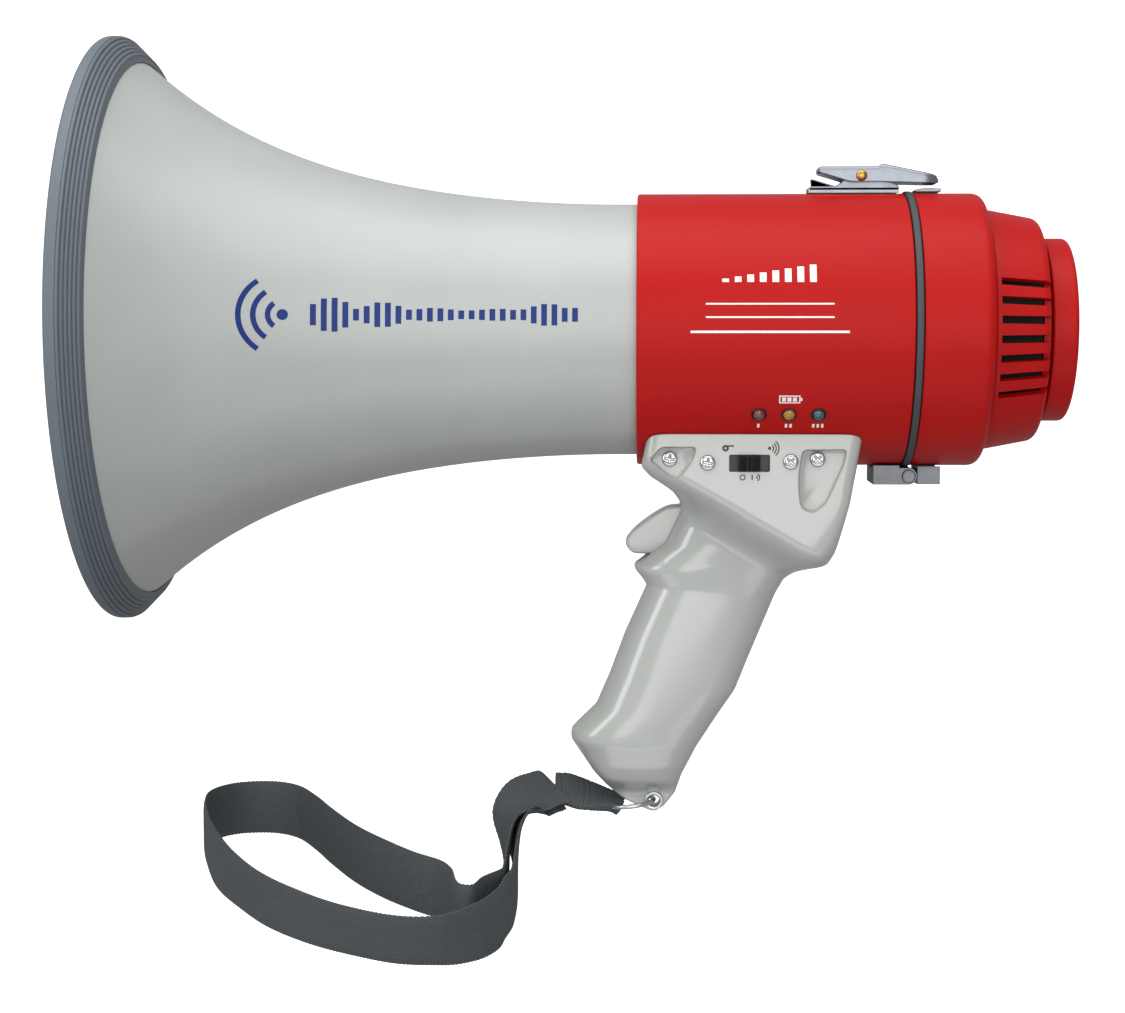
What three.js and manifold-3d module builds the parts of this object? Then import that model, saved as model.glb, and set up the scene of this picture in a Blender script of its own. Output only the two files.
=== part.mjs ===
// Handheld megaphone: re-entrant horn, amplifier housing, hinged rear cover, pistol grip and
// wrist strap, each sub-part a separate closed solid. Millimetres, +Z up.
// The shapes are written in the horn's frame: X along the horn axis, mouth towards -X, and the
// trigger side of the grip towards -X as well. The last group moves the origin into the grip.
import * as THREE from 'three';
import { mergeVertices } from 'three/addons/utils/BufferGeometryUtils.js';
import Module from 'manifold-3d';

const wasm = await Module();
wasm.setup();

// ---- driving dimensions -------------------------------------------------------------------
const GAP = 0.3;                 // between pieces that touch
const GRIP_ORIGIN = [45, 0, -109];

const BELL_MOUTH_R = 99;         // outer radius of the bell's edge
const BELL_THROAT_R = 43.5;
const BELL_MOUTH_X = -152;
const BELL_STRAIGHT_X = 22;      // the flare starts here
const BELL_BACK_X = 34;
const BELL_WALL = 2.5;
const RIM_R = BELL_MOUTH_R + 2.5;
const RIM_FRONT_X = BELL_MOUTH_X - 3.4;
const RIM_LIP = 4.1;
const RIM_SKIRT = 10.5;
const RIM_RIBS = 4;

const CUP_R = 31;
const CUP_FRONT_X = -82;
const CUP_BACK_X = -2;
const CUP_WALL = 2;
const TUBE_R_BACK = 9;
const TUBE_R_FRONT = 15;
const TUBE_FRONT_X = -58;
const TUBE_WALL = 2;

const HOUSING_R = 47;
const HOUSING_FRONT_X = 26.2;
const HOUSING_BACK_X = 117.6;
const SEAL_WIDTH = 2.3;
const SEAL_PROUD = 0.5;
const COVER_LENGTH = 24;
const COVER_WALL = 3;
const DRUM_R_FRONT = 41.5;
const DRUM_R_BACK = 38.2;
const DRUM_LENGTH = 18.7;
const DRUM_WALL = 2.2;
const DRUM_SLOTS = 7;            // on each side
const DRUM_SLOT_STEP = 9.1;      // degrees
const DRUM_SLOT_WIDTH = 2.6;
const DRUM_SLOT_FIRST = -23;     // degrees below the horizontal
const CAP_R = 31.5;
const CAP_LENGTH = 8.7;
const CAP_DISH = 2.2;

const LED_R = 2.5;
const LED_X = [67, 77, 86.8];
const LED_ANGLE = 36.6;          // degrees below the horizontal
const CELL_R = 7;                // AA cells
const CELL_LENGTH = 50;
const CELL_COUNT = 8;
const CELL_RING_R = 30;

const SADDLE_HALF = 32;          // half width of the handle where it meets the housing
const SEAT_Z = -Math.sqrt(HOUSING_R ** 2 - SADDLE_HALF ** 2);   // height of that edge
const GRIP_HALF = 16;
const HANDLE_WALL = 2.6;
const TRIGGER_HALF = 5;
const TRIGGER_PIVOT = [46.5, -64.5];
const TRIGGER_PIN_R = 1.5;
const SLIDE_CENTRE = [64.3, SEAT_Z - 10.2];
const SLIDE_SLOT = [13.6, 5.7];
const SLIDE_KNOB = [7.1, 5.1];
const SCREW_HEAD_R = 2.65;
const SCREW_SHANK_R = 1.4;

const LATCH_HALF = 8;
const RIVET = [HOUSING_BACK_X - 14.6, HOUSING_R + 5.8];
const RIVET_R = 0.9;
const HINGE_PIN = [HOUSING_BACK_X + 2.4, -HOUSING_R - 3.3];
const HINGE_PIN_R = 1.2;
const HINGE_HALF = 11;

const EYE = [32.6, -166.5];
const EYE_R = 1.9;
const EYELET_WALL = 0.7;
const RING_R = 8.2;
const RING_WIRE_R = 0.8;
const STRAP_WIDTH = 21;
const STRAP_THICK = 1.7;

const LARGE = 40, MEDIUM = 20, SMALL = 10;   // facets round a full turn

// ---- solids -------------------------------------------------------------------------------
// A closed three.js geometry as a solid whose faces point out.
function solid(geometry) {
  for (const name of Object.keys(geometry.attributes)) {
    if (name !== 'position') geometry.deleteAttribute(name);
  }
  const merged = mergeVertices(geometry, 1e-3);
  const position = merged.attributes.position.array;
  const index = Array.from(merged.index.array);
  const at = i => new THREE.Vector3().fromArray(position, 3 * i);
  const kept = [];
  let volume = 0;
  for (let i = 0; i < index.length; i += 3) {
    const [a, b, c] = index.slice(i, i + 3);
    if (a === b || b === c || c === a) continue;
    kept.push(a, b, c);
    volume += at(a).dot(at(b).cross(at(c)));
  }
  if (volume < 0) kept.reverse();
  const mesh = new wasm.Mesh({
    numProp: 3, vertProperties: new Float32Array(position), triVerts: new Uint32Array(kept),
  });
  return new wasm.Manifold(mesh);
}

const shapeOf = points => new THREE.Shape(points.map(([u, v]) => new THREE.Vector2(u, v)));

function prism(points, depth, basis, origin) {
  const geometry = new THREE.ExtrudeGeometry(shapeOf(points), { depth, bevelEnabled: false });
  const axes = basis.map(v => new THREE.Vector3(...v));
  geometry.applyMatrix4(new THREE.Matrix4().makeBasis(...axes));
  geometry.translate(...origin);
  return solid(geometry);
}

// Outlines in (X, Z) carried along Y, and in (Y, Z) carried along X.
const prismY = (points, low, high) =>
  prism(points, high - low, [[1, 0, 0], [0, 0, 1], [0, -1, 0]], [0, high, 0]);
const prismX = (points, low, high) =>
  prism(points, high - low, [[0, 1, 0], [0, 0, 1], [1, 0, 0]], [low, 0, 0]);

function box(low, high) {
  const size = high.map((v, i) => v - low[i]);
  const middle = high.map((v, i) => (v + low[i]) / 2);
  return solid(new THREE.BoxGeometry(...size).translate(...middle));
}

// A profile of [x, radius] points turned about the X axis.
function turned(profile, facets = LARGE) {
  const points = profile.map(([x, r]) => new THREE.Vector2(r, x));
  if (profile[0][1] > 0) points.push(points[0].clone());
  return solid(new THREE.LatheGeometry(points, facets).rotateZ(-Math.PI / 2));
}

// A rod from one point to another.
function rod(from, to, radius, facets = SMALL) {
  const a = new THREE.Vector3(...from), b = new THREE.Vector3(...to);
  const geometry = new THREE.CylinderGeometry(radius, radius, a.distanceTo(b), facets);
  const turn = new THREE.Quaternion().setFromUnitVectors(
    new THREE.Vector3(0, 1, 0), b.clone().sub(a).normalize());
  geometry.applyQuaternion(turn);
  geometry.translate(...a.add(b).multiplyScalar(0.5).toArray());
  return solid(geometry);
}

const join = (...solids) => solids.reduce((whole, next) => whole.add(next));
const mirrorY = piece => piece.scale([1, -1, 1]);
const radians = degrees => degrees * Math.PI / 180;
const mix = (a, b, t) => a + (b - a) * t;

// Linear interpolation in a table of [key, value] rows whose keys fall.
function along(table, key) {
  if (key >= table[0][0]) return table[0][1];
  for (let i = 1; i < table.length; i++) {
    const [k0, v0] = table[i - 1], [k1, v1] = table[i];
    if (key >= k1) return mix(v0, v1, (key - k0) / (k1 - k0));
  }
  return table[table.length - 1][1];
}

// ---- finishes -----------------------------------------------------------------------------
const finish = (color, roughness, metalness = 0) => ({ color, roughness, metalness });
const HORN_GREY = finish(0xc4c8be, 0.35);
const RED = finish(0xd2222a, 0.35);
const HANDLE_GREY = finish(0xc8ccc6, 0.3);
const RIM_RUBBER = finish(0x6d737d, 0.75);
const SEAL_RUBBER = finish(0x3a3f45, 0.8);
const BLACK = finish(0x1b1c1f, 0.5);
const STEEL = finish(0xa9adb0, 0.3, 1);
const BRASS = finish(0xb08d4e, 0.35, 1);
const WEBBING = finish(0x3f4344, 0.9);
const BOARD = finish(0x2c6b3c, 0.6);
const FERRITE = finish(0x34353a, 0.6, 0.3);
const CELL = finish(0x8a6f3a, 0.4, 0.5);
const LED_RED = finish(0x7a3436, 0.3);
const LED_AMBER = finish(0xb9893c, 0.3);
const LED_GREEN = finish(0x3f5b66, 0.3);

const megaphone = new THREE.Group();
function addPiece(group, name, piece, look) {
  const { vertProperties, triVerts } = piece.getMesh();
  const geometry = new THREE.BufferGeometry();
  geometry.setAttribute('position', new THREE.BufferAttribute(vertProperties.slice(), 3));
  geometry.setIndex(new THREE.BufferAttribute(triVerts.slice(), 1));
  geometry.computeVertexNormals();
  const mesh = new THREE.Mesh(geometry, new THREE.MeshStandardMaterial(look));
  mesh.name = name;
  group.add(mesh);
}
function addGroup() {
  const group = new THREE.Group();
  megaphone.add(group);
  return group;
}

// ---- horn ---------------------------------------------------------------------------------
const horn = addGroup();

// Outer radius of the bell at x, a quadratic throat blending into a steep mouth.
function bellRadius(x) {
  const t = Math.max(0, (BELL_STRAIGHT_X - x) / (BELL_STRAIGHT_X - BELL_MOUTH_X));
  return BELL_THROAT_R + (BELL_MOUTH_R - BELL_THROAT_R) * (0.56 * t ** 2 + 0.44 * t ** 4.5);
}

// The bell's wall, moved in by depth along its normal.
function bellCurve(depth, stations) {
  return stations.map(x => {
    const slope = (bellRadius(x + 0.5) - bellRadius(x - 0.5));
    const length = Math.hypot(1, slope);
    return [x + depth * slope / length, bellRadius(x) - depth / length];
  });
}
const skirtEndX = RIM_FRONT_X + RIM_SKIRT;
const gripStations = [skirtEndX, (skirtEndX + BELL_MOUTH_X) / 2, BELL_MOUTH_X];
const bellStations = [0, 0.3, 0.48, 0.62, 0.75, 0.87, 1]
  .map(t => mix(BELL_STRAIGHT_X, skirtEndX, t)).concat(gripStations.slice(1));
const BELL_BACK_WALL = 3;
const tubeHoleR = TUBE_R_BACK + GAP;

addPiece(horn, 'horn_bell', turned([
  [BELL_BACK_X, tubeHoleR], [BELL_BACK_X, BELL_THROAT_R],
  ...bellCurve(0, bellStations),
  ...bellCurve(BELL_WALL, bellStations).reverse(),
  [BELL_BACK_X - BELL_BACK_WALL - 6, BELL_THROAT_R - BELL_WALL],
  [BELL_BACK_X - BELL_BACK_WALL, BELL_THROAT_R - BELL_WALL - 8],
  [BELL_BACK_X - BELL_BACK_WALL, tubeHoleR],
]).subtract(turned([[-200, 0], [-200, 120], [BELL_MOUTH_X, 120], [BELL_MOUTH_X, 0]])), HORN_GREY);

// Rubber rim: a lip in front, and a ribbed skirt that grips the bell's outside.
const rimClear = GAP;
const rimRib = (skirtEndX - RIM_FRONT_X - RIM_LIP) / RIM_RIBS;
const RIM_RIB_STEP = (RIM_R - bellRadius(skirtEndX) - 3) / RIM_RIBS;
const rimProfile = [
  [RIM_FRONT_X, BELL_MOUTH_R - 5], [RIM_FRONT_X, RIM_R - 1.2],
  [RIM_FRONT_X + 1.2, RIM_R], [RIM_FRONT_X + RIM_LIP, RIM_R],
];
for (let i = 0; i < RIM_RIBS; i++) {
  const x = RIM_FRONT_X + RIM_LIP + i * rimRib;
  rimProfile.push([x + 0.3, RIM_R - (i + 0.7) * RIM_RIB_STEP]);
  rimProfile.push([x + rimRib, RIM_R - (i + 1) * RIM_RIB_STEP]);
}
rimProfile.push(...bellCurve(-rimClear, gripStations));
rimProfile.push([BELL_MOUTH_X - GAP, BELL_MOUTH_R + rimClear]);
rimProfile.push([BELL_MOUTH_X - GAP, BELL_MOUTH_R - 5]);
addPiece(horn, 'bell_rim', turned(rimProfile), RIM_RUBBER);

const CUP_NOSE = 14;
const cupArc = (radius, noseX) => [0, 0.25, 0.5, 0.75, 1].map(t => {
  const angle = mix(Math.PI / 2, 0, t);
  return [noseX + CUP_NOSE * (1 - Math.sin(angle)), radius * Math.cos(angle)];
});
addPiece(horn, 'reflector_cup', turned([
  ...cupArc(CUP_R, CUP_FRONT_X),
  [CUP_BACK_X, CUP_R + 2], [CUP_BACK_X, CUP_R + 2 - CUP_WALL],
  ...cupArc(CUP_R - CUP_WALL, CUP_FRONT_X + CUP_WALL).reverse(),
], LARGE), HORN_GREY);

const DRIVER_X = BELL_BACK_X + GAP;
const tubeRadius = x => mix(TUBE_R_FRONT, TUBE_R_BACK,
  (x - TUBE_FRONT_X) / (BELL_BACK_X - BELL_BACK_WALL - GAP - TUBE_FRONT_X));
const tubeShoulderX = BELL_BACK_X - BELL_BACK_WALL - GAP;
addPiece(horn, 'throat_tube', turned([
  [TUBE_FRONT_X, TUBE_R_FRONT], [tubeShoulderX - 4, tubeRadius(tubeShoulderX - 4)],
  [tubeShoulderX - 4, TUBE_R_BACK + 6], [tubeShoulderX, TUBE_R_BACK + 6],
  [tubeShoulderX, TUBE_R_BACK], [BELL_BACK_X, TUBE_R_BACK],
  [BELL_BACK_X, TUBE_R_BACK - TUBE_WALL], [TUBE_FRONT_X, TUBE_R_FRONT - TUBE_WALL],
], MEDIUM), HORN_GREY);

// Three vanes on a sleeve hold the cup on the throat tube.
const SPIDER_X = [-40, -28];
const spiderVanes = [90, 210, 330].map(angle => {
  const reach = CUP_R - CUP_WALL - GAP;
  const vane = box([SPIDER_X[0], 0, -1], [SPIDER_X[1], reach, 1]);
  return vane.rotate([angle, 0, 0]);
});
const spiderBore = tubeRadius(SPIDER_X[0]) + GAP;
const spiderRing = turned([
  [SPIDER_X[0], spiderBore], [SPIDER_X[0], spiderBore + 1.6],
  [SPIDER_X[1], spiderBore + 1.6], [SPIDER_X[1], spiderBore],
], MEDIUM);
const spiderHole = turned([[-60, 0], [-60, spiderBore], [0, spiderBore], [0, 0]], MEDIUM);
addPiece(horn, 'cup_spider', join(...spiderVanes).subtract(spiderHole).add(spiderRing),
  HORN_GREY);

// ---- driver, board and batteries -----------------------------------------------------------
const works = addGroup();
const DRIVER_R = 36, DRIVER_DEPTH = 16, DRIVER_WALL = 2.5;
const driverBackX = DRIVER_X + DRIVER_DEPTH;
addPiece(works, 'driver_frame', turned([
  [DRIVER_X, TUBE_R_BACK], [DRIVER_X, DRIVER_R], [driverBackX, DRIVER_R],
  [driverBackX, DRIVER_R - DRIVER_WALL], [DRIVER_X + DRIVER_WALL, DRIVER_R - DRIVER_WALL],
  [DRIVER_X + DRIVER_WALL, TUBE_R_BACK],
], MEDIUM), BLACK);
const DOME_R = 26, DOME_RISE = 6, DOME_THICK = 0.8;
const domeX = DRIVER_X + DRIVER_WALL + DOME_RISE + 1;
addPiece(works, 'driver_diaphragm', turned([
  [domeX - DOME_RISE, 0], [domeX - DOME_RISE * 0.7, DOME_R * 0.5], [domeX, DOME_R],
  [domeX, DRIVER_R - DRIVER_WALL - GAP],
  [domeX + DOME_THICK, DRIVER_R - DRIVER_WALL - GAP], [domeX + DOME_THICK, DOME_R],
  [domeX - DOME_RISE * 0.7 + DOME_THICK, DOME_R * 0.5], [domeX - DOME_RISE + DOME_THICK, 0],
], MEDIUM), CELL);
const MAGNET_R = 27, MAGNET_DEPTH = 14;
addPiece(works, 'driver_magnet', turned([
  [driverBackX + GAP, 0], [driverBackX + GAP, MAGNET_R],
  [driverBackX + MAGNET_DEPTH, MAGNET_R], [driverBackX + MAGNET_DEPTH, 0],
], MEDIUM), FERRITE);

const trayX = HOUSING_BACK_X - 32;
const boardX = (driverBackX + MAGNET_DEPTH + trayX) / 2;
addPiece(works, 'amplifier_board', join(
  box([boardX, -30, -24], [boardX + 1.6, 30, 26]),
  box([boardX + 1.5, -22, -8], [boardX + 5, -6, 12]),
  rod([boardX + 1.5, 12, 8], [boardX + 7, 12, 8], 6),
  rod([boardX + 1.5, 12, -12], [boardX + 6, 12, -12], 4),
), BOARD);

const cellX = trayX + 3 + GAP;
const TRAY_R = CELL_RING_R - CELL_R - GAP * 2;
addPiece(works, 'battery_tray', turned([
  [trayX, 0], [trayX, HOUSING_R - COVER_WALL - 2], [trayX + 3, HOUSING_R - COVER_WALL - 2],
  [trayX + 3, TRAY_R], [cellX + CELL_LENGTH - 6, TRAY_R], [cellX + CELL_LENGTH - 6, 0],
], MEDIUM), BLACK);
for (let i = 0; i < CELL_COUNT; i++) {
  const angle = 2 * Math.PI * (i + 0.5) / CELL_COUNT;
  const y = CELL_RING_R * Math.cos(angle), z = CELL_RING_R * Math.sin(angle);
  addPiece(works, `battery_cell_${i + 1}`,
    rod([cellX, y, z], [cellX + CELL_LENGTH, y, z], CELL_R, SMALL), CELL);
}

// ---- red housing and seal -------------------------------------------------------------------
const housing = addGroup();
const housingBore = BELL_THROAT_R + GAP;
const ledDirection = [0, -Math.cos(radians(LED_ANGLE)), -Math.sin(radians(LED_ANGLE))];
const ledPoint = (x, radius) => [x, ledDirection[1] * radius, ledDirection[2] * radius];
let housingShell = turned([
  [HOUSING_FRONT_X, housingBore], [HOUSING_FRONT_X, HOUSING_R - 1],
  [HOUSING_FRONT_X + 1, HOUSING_R], [HOUSING_BACK_X, HOUSING_R],
  [HOUSING_BACK_X, housingBore],
]);
for (const x of LED_X) {
  housingShell = housingShell.subtract(
    rod(ledPoint(x, HOUSING_R - 8), ledPoint(x, HOUSING_R + 4), LED_R + GAP));
}
addPiece(housing, 'front_housing', housingShell, RED);
['led_low', 'led_mid', 'led_high'].forEach((name, i) => {
  addPiece(housing, name, rod(ledPoint(LED_X[i], HOUSING_R - 4),
    ledPoint(LED_X[i], HOUSING_R + 1), LED_R, SMALL), [LED_RED, LED_AMBER, LED_GREEN][i]);
});
const sealX = HOUSING_BACK_X + GAP;
addPiece(housing, 'seal_ring', turned([
  [sealX, HOUSING_R - 4], [sealX, HOUSING_R + SEAL_PROUD],
  [sealX + SEAL_WIDTH, HOUSING_R + SEAL_PROUD], [sealX + SEAL_WIDTH, HOUSING_R - 4],
]), SEAL_RUBBER);

// ---- rear cover, vent drum and microphone ----------------------------------------------------
const rear = addGroup();
const coverX = sealX + SEAL_WIDTH + GAP;
const coverBackX = coverX + COVER_LENGTH;
const COVER_FILLET = 3;
const DRUM_BORE = 33;
const hingeRelief = HINGE_PIN_R + 1.9;
addPiece(rear, 'rear_cover', turned([
  [coverX, HOUSING_R - COVER_WALL], [coverX, HOUSING_R],
  [coverBackX - COVER_FILLET, HOUSING_R],
  [coverBackX - COVER_FILLET * 0.3, HOUSING_R - COVER_FILLET * 0.3],
  [coverBackX, HOUSING_R - COVER_FILLET], [coverBackX, DRUM_BORE],
  [coverBackX - 2.5, DRUM_BORE], [coverBackX - 2.5, HOUSING_R - COVER_WALL],
]), RED);

const drumX = coverBackX + GAP;
const drumBackX = drumX + DRUM_LENGTH;
const DRUM_SHOULDER = 2.5;
const neckR = CAP_R - 2.5;
let drum = turned([
  [drumX, DRUM_R_FRONT - DRUM_WALL], [drumX, DRUM_R_FRONT],
  [drumBackX - DRUM_SHOULDER, DRUM_R_BACK],
  [drumBackX - DRUM_SHOULDER * 0.3, DRUM_R_BACK - DRUM_SHOULDER * 0.3],
  [drumBackX, DRUM_R_BACK - DRUM_SHOULDER], [drumBackX, neckR],
  [drumBackX + 1.2, neckR], [drumBackX + 1.2, neckR - DRUM_WALL],
  [drumBackX - DRUM_WALL, neckR - DRUM_WALL],
  [drumBackX - DRUM_WALL, DRUM_R_BACK - DRUM_WALL],
], LARGE);
for (let i = 0; i < DRUM_SLOTS; i++) {
  const angle = DRUM_SLOT_FIRST + i * DRUM_SLOT_STEP;
  const cutter = box([drumX + 1.6, -HOUSING_R, -DRUM_SLOT_WIDTH / 2],
    [drumBackX + 0.1, 1 - DRUM_R_BACK + DRUM_SHOULDER + 2, DRUM_SLOT_WIDTH / 2]);
  drum = drum.subtract(cutter.rotate([angle, 0, 0]));
  drum = drum.subtract(mirrorY(cutter.rotate([angle, 0, 0])));
}
addPiece(rear, 'vent_drum', drum, RED);

const capX = drumBackX + 1.2 + GAP;
const capBackX = capX + CAP_LENGTH;
const MIC_R = 11, KNOB_R = 6.5;
const MIC_AT = [0, 9], KNOB_AT = [0, -15];
let cap = turned([
  [capX, 0], [capX, CAP_R - 1], [capX + 1, CAP_R], [capBackX - 2, CAP_R],
  [capBackX, CAP_R - 2], [capBackX, CAP_R - 4], [capBackX - CAP_DISH, CAP_R - 6],
  [capBackX - CAP_DISH, 0],
]);
const capRod = ([y, z], radius, from, to) => rod([from, y, z], [to, y, z], radius, MEDIUM);
cap = cap.subtract(capRod(MIC_AT, MIC_R + GAP, capBackX - CAP_DISH - 2, capBackX + 2));
cap = cap.subtract(capRod(MIC_AT, 5 + GAP, capX - 1, capBackX));
cap = cap.subtract(capRod(KNOB_AT, KNOB_R + GAP, capBackX - CAP_DISH - 2.5, capBackX + 2));
cap = cap.subtract(capRod(KNOB_AT, 3 + GAP, capX - 1, capBackX));
addPiece(rear, 'mic_cap', cap, RED);

let grille = capRod(MIC_AT, MIC_R, capBackX - CAP_DISH - 1.7, capBackX - CAP_DISH + 0.2);
for (let row = -2; row <= 2; row++) {
  const half = Math.sqrt((MIC_R - 1.5) ** 2 - (row * 3.4) ** 2);
  grille = grille.subtract(box(
    [capX, MIC_AT[0] - half, MIC_AT[1] + row * 3.4 - 0.7],
    [capBackX, MIC_AT[0] + half, MIC_AT[1] + row * 3.4 + 0.7]));
}
addPiece(rear, 'mic_grille', grille, BLACK);
addPiece(rear, 'mic_capsule',
  capRod(MIC_AT, 5, capX - 5, capBackX - CAP_DISH - 1.7 - GAP), STEEL);
const potEndX = capX - GAP;
addPiece(rear, 'volume_pot', join(
  capRod(KNOB_AT, 8, potEndX - 8, potEndX),
  capRod(KNOB_AT, 2.5, potEndX - 1, capX + CAP_LENGTH - CAP_DISH - 2.5 - GAP)), STEEL);
const knobX = capBackX - CAP_DISH - 2.5 + GAP;
addPiece(rear, 'volume_knob', join(
  capRod(KNOB_AT, KNOB_R, knobX, knobX + 2),
  capRod(KNOB_AT, KNOB_R - 0.8, knobX + 1.9, capBackX - 0.4),
).add(box([knobX + 1, KNOB_AT[0] - 0.6, KNOB_AT[1] - KNOB_R + 1.5],
  [capBackX - 0.1, KNOB_AT[0] + 0.6, KNOB_AT[1] + KNOB_R - 1.5])), BLACK);

// ---- hinge under the cover -------------------------------------------------------------------
const hinge = addGroup();
const [pinX, pinZ] = HINGE_PIN;
const earR = hingeRelief - 0.5;
const leafTop = pinZ + 2.4;
const earY = [[-HINGE_HALF, -HINGE_HALF + 5], [HINGE_HALF - 5, HINGE_HALF]];
const knuckleY = [-HINGE_HALF + 5 + GAP, HINGE_HALF - 5 - GAP];
const pinRod = (low, high, radius) =>
  rod([pinX, low, pinZ], [pinX, high, pinZ], radius, SMALL);
const frontEars = earY.map(([low, high]) => pinRod(low, high, earR)
  .add(box([pinX - 8, low, pinZ - 1.2], [pinX - 1, high, pinZ + 1.2])));
const saddleCut = turned([
  [HOUSING_FRONT_X - 5, 0], [HOUSING_FRONT_X - 5, HOUSING_R + SEAL_PROUD + GAP],
  [coverX + 60, HOUSING_R + SEAL_PROUD + GAP], [coverX + 60, 0],
]);
addPiece(hinge, 'hinge_front_leaf', join(
  box([pinX - 13, -HINGE_HALF, pinZ - 2.4], [pinX - earR - GAP, HINGE_HALF, leafTop + 2]),
  ...frontEars,
).subtract(pinRod(-20, 20, HINGE_PIN_R + GAP / 2)).subtract(saddleCut), STEEL);
addPiece(hinge, 'hinge_pin', join(
  pinRod(-HINGE_HALF - 1, HINGE_HALF + 1, HINGE_PIN_R),
  pinRod(-HINGE_HALF - 1.2, -HINGE_HALF - GAP, 2),
  pinRod(HINGE_HALF + GAP, HINGE_HALF + 1.2, 2)), STEEL);
addPiece(hinge, 'hinge_rear_leaf', join(
  pinRod(...knuckleY, earR),
  box([pinX, knuckleY[0], pinZ - 1.2], [pinX + 6, knuckleY[1], pinZ + 1.2]),
  box([pinX + earR + GAP * 2, -HINGE_HALF + 2, pinZ - 2.4],
    [pinX + 12, HINGE_HALF - 2, leafTop + 1]),
).subtract(pinRod(-20, 20, HINGE_PIN_R + GAP / 2)).subtract(saddleCut), STEEL);

// ---- latch on top ------------------------------------------------------------------------------
const latch = addGroup();
const [rivetX, rivetZ] = RIVET;
const CHEEK = 1.2;
const bracketTop = rivetZ + 1.4;
const bracketOutline = [
  [rivetX - 18, HOUSING_R + 0.8], [rivetX + 13, HOUSING_R + 0.8],
  [rivetX + 13, HOUSING_R + 2.4], [rivetX + 4, bracketTop], [rivetX - 3, bracketTop],
  [rivetX - 8, HOUSING_R + 2.4], [rivetX - 18, HOUSING_R + 2.4],
];
const cheekIn = LATCH_HALF - 2 - CHEEK;
addPiece(latch, 'latch_bracket', join(
  prismY(bracketOutline, -LATCH_HALF + 2, -cheekIn),
  prismY(bracketOutline, cheekIn, LATCH_HALF - 2),
  box([rivetX - 18, -LATCH_HALF + 2, HOUSING_R + GAP],
    [rivetX + 13, LATCH_HALF - 2, HOUSING_R + 1.6]),
).subtract(rod([rivetX, -20, rivetZ], [rivetX, 20, rivetZ], RIVET_R + GAP / 2, SMALL))
  .subtract(turned([[0, 0], [0, HOUSING_R + GAP], [180, HOUSING_R + GAP], [180, 0]])), STEEL);

const leverTip = [rivetX + 26.5, rivetZ - 2.6];
const leverSide = [
  [rivetX - 14.4, rivetZ + 3.2], [rivetX - 14.4, rivetZ + 1.4], [rivetX - 4, rivetZ - 1.9],
  [rivetX + 4, rivetZ - 1.9], leverTip, [rivetX + 26.5, rivetZ - 1],
  [rivetX + 24.9, rivetZ + 0.4], [rivetX + 7, rivetZ + 4], [rivetX + 5, rivetZ + 3.2],
];
const leverInside = leverSide.map(([x, z]) => [x, z - 1.1]);
addPiece(latch, 'latch_lever', prismY(leverSide, -LATCH_HALF, LATCH_HALF)
  .subtract(prismY(leverInside, -LATCH_HALF + 1.4, LATCH_HALF - 1.4))
  .subtract(rod([rivetX, -20, rivetZ], [rivetX, 20, rivetZ], RIVET_R + GAP / 2, SMALL)),
STEEL);
addPiece(latch, 'latch_rivet', join(
  rod([rivetX, -LATCH_HALF - 0.5, rivetZ], [rivetX, LATCH_HALF + 0.5, rivetZ], RIVET_R),
  rod([rivetX, -LATCH_HALF - 1.1, rivetZ], [rivetX, -LATCH_HALF - GAP, rivetZ], 1.9),
  rod([rivetX, LATCH_HALF + GAP, rivetZ], [rivetX, LATCH_HALF + 1.1, rivetZ], 1.9),
), BRASS);
addPiece(latch, 'latch_spring', prismY([
  [rivetX - 17, HOUSING_R + 2], [rivetX - 9, HOUSING_R + 2], [rivetX - 17, rivetZ + 1],
  [rivetX - 18, rivetZ + 1], [rivetX - 10.6, HOUSING_R + 2.6], [rivetX - 17, HOUSING_R + 2.6],
], -3, 3), STEEL);
addPiece(latch, 'latch_catch', prismY([
  [coverX + 1, HOUSING_R + GAP], [coverX + 10, HOUSING_R + GAP],
  [coverX + 10, leverTip[1] - 1.6], [coverX + 4, leverTip[1] - 1.6],
  [coverX + 1, HOUSING_R + 1.2],
], -5, 5), STEEL);

// ---- handle ------------------------------------------------------------------------------------
const handle = addGroup();
const FLANGE_TOP = -28;
const frontEdge = [
  [FLANGE_TOP, 31], [-46.3, 27.8], [-49.8, 30.8], [-52.6, 35], [-55.4, 38.6], [-59.6, 41.4],
  [-64, 41], [-74, 36], [-80, 28], [-82, 25.2], [-84, 25.8], [-86.6, 28], [-89.4, 29.8],
  [-106.6, 22.1], [-121, 16.8], [-132.4, 11.9], [-138.2, 5.9], [-141, 3.2], [-144, 3.2],
  [-155.5, 10.9], [-161.2, 15.9], [-165.9, 21.2], [-169.1, 27.6], [-170.2, 31.5],
];
const backEdge = [
  [FLANGE_TOP, 100], [-47, 100], [-58, 99.2], [-75.7, 94.5], [-80.8, 92.1], [-82, 87.5],
  [-83.8, 82], [-86.6, 78], [-92, 75], [-114.9, 65.6], [-126.3, 61.1], [-135, 55.2],
  [-146.5, 47.8], [-156.7, 42.5], [-163.9, 40.1], [-169, 36], [-170.2, 33.5],
];
const gripWidth = [
  [FLANGE_TOP, GRIP_HALF + 4], [-60, GRIP_HALF + 3], [-80, GRIP_HALF + 1], [-90, GRIP_HALF],
  [-145, GRIP_HALF], [-153, GRIP_HALF - 2], [-158, GRIP_HALF - 5], [-161, GRIP_HALF - 10],
  [-163, 2.4], [-170.2, 2.2],
];
const frontSquareness = [
  [FLANGE_TOP, 9], [-50, 9], [-56, 5], [-62, 3.4], [-80, 2.8], [-150, 2.6], [-163, 3],
];
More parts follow.
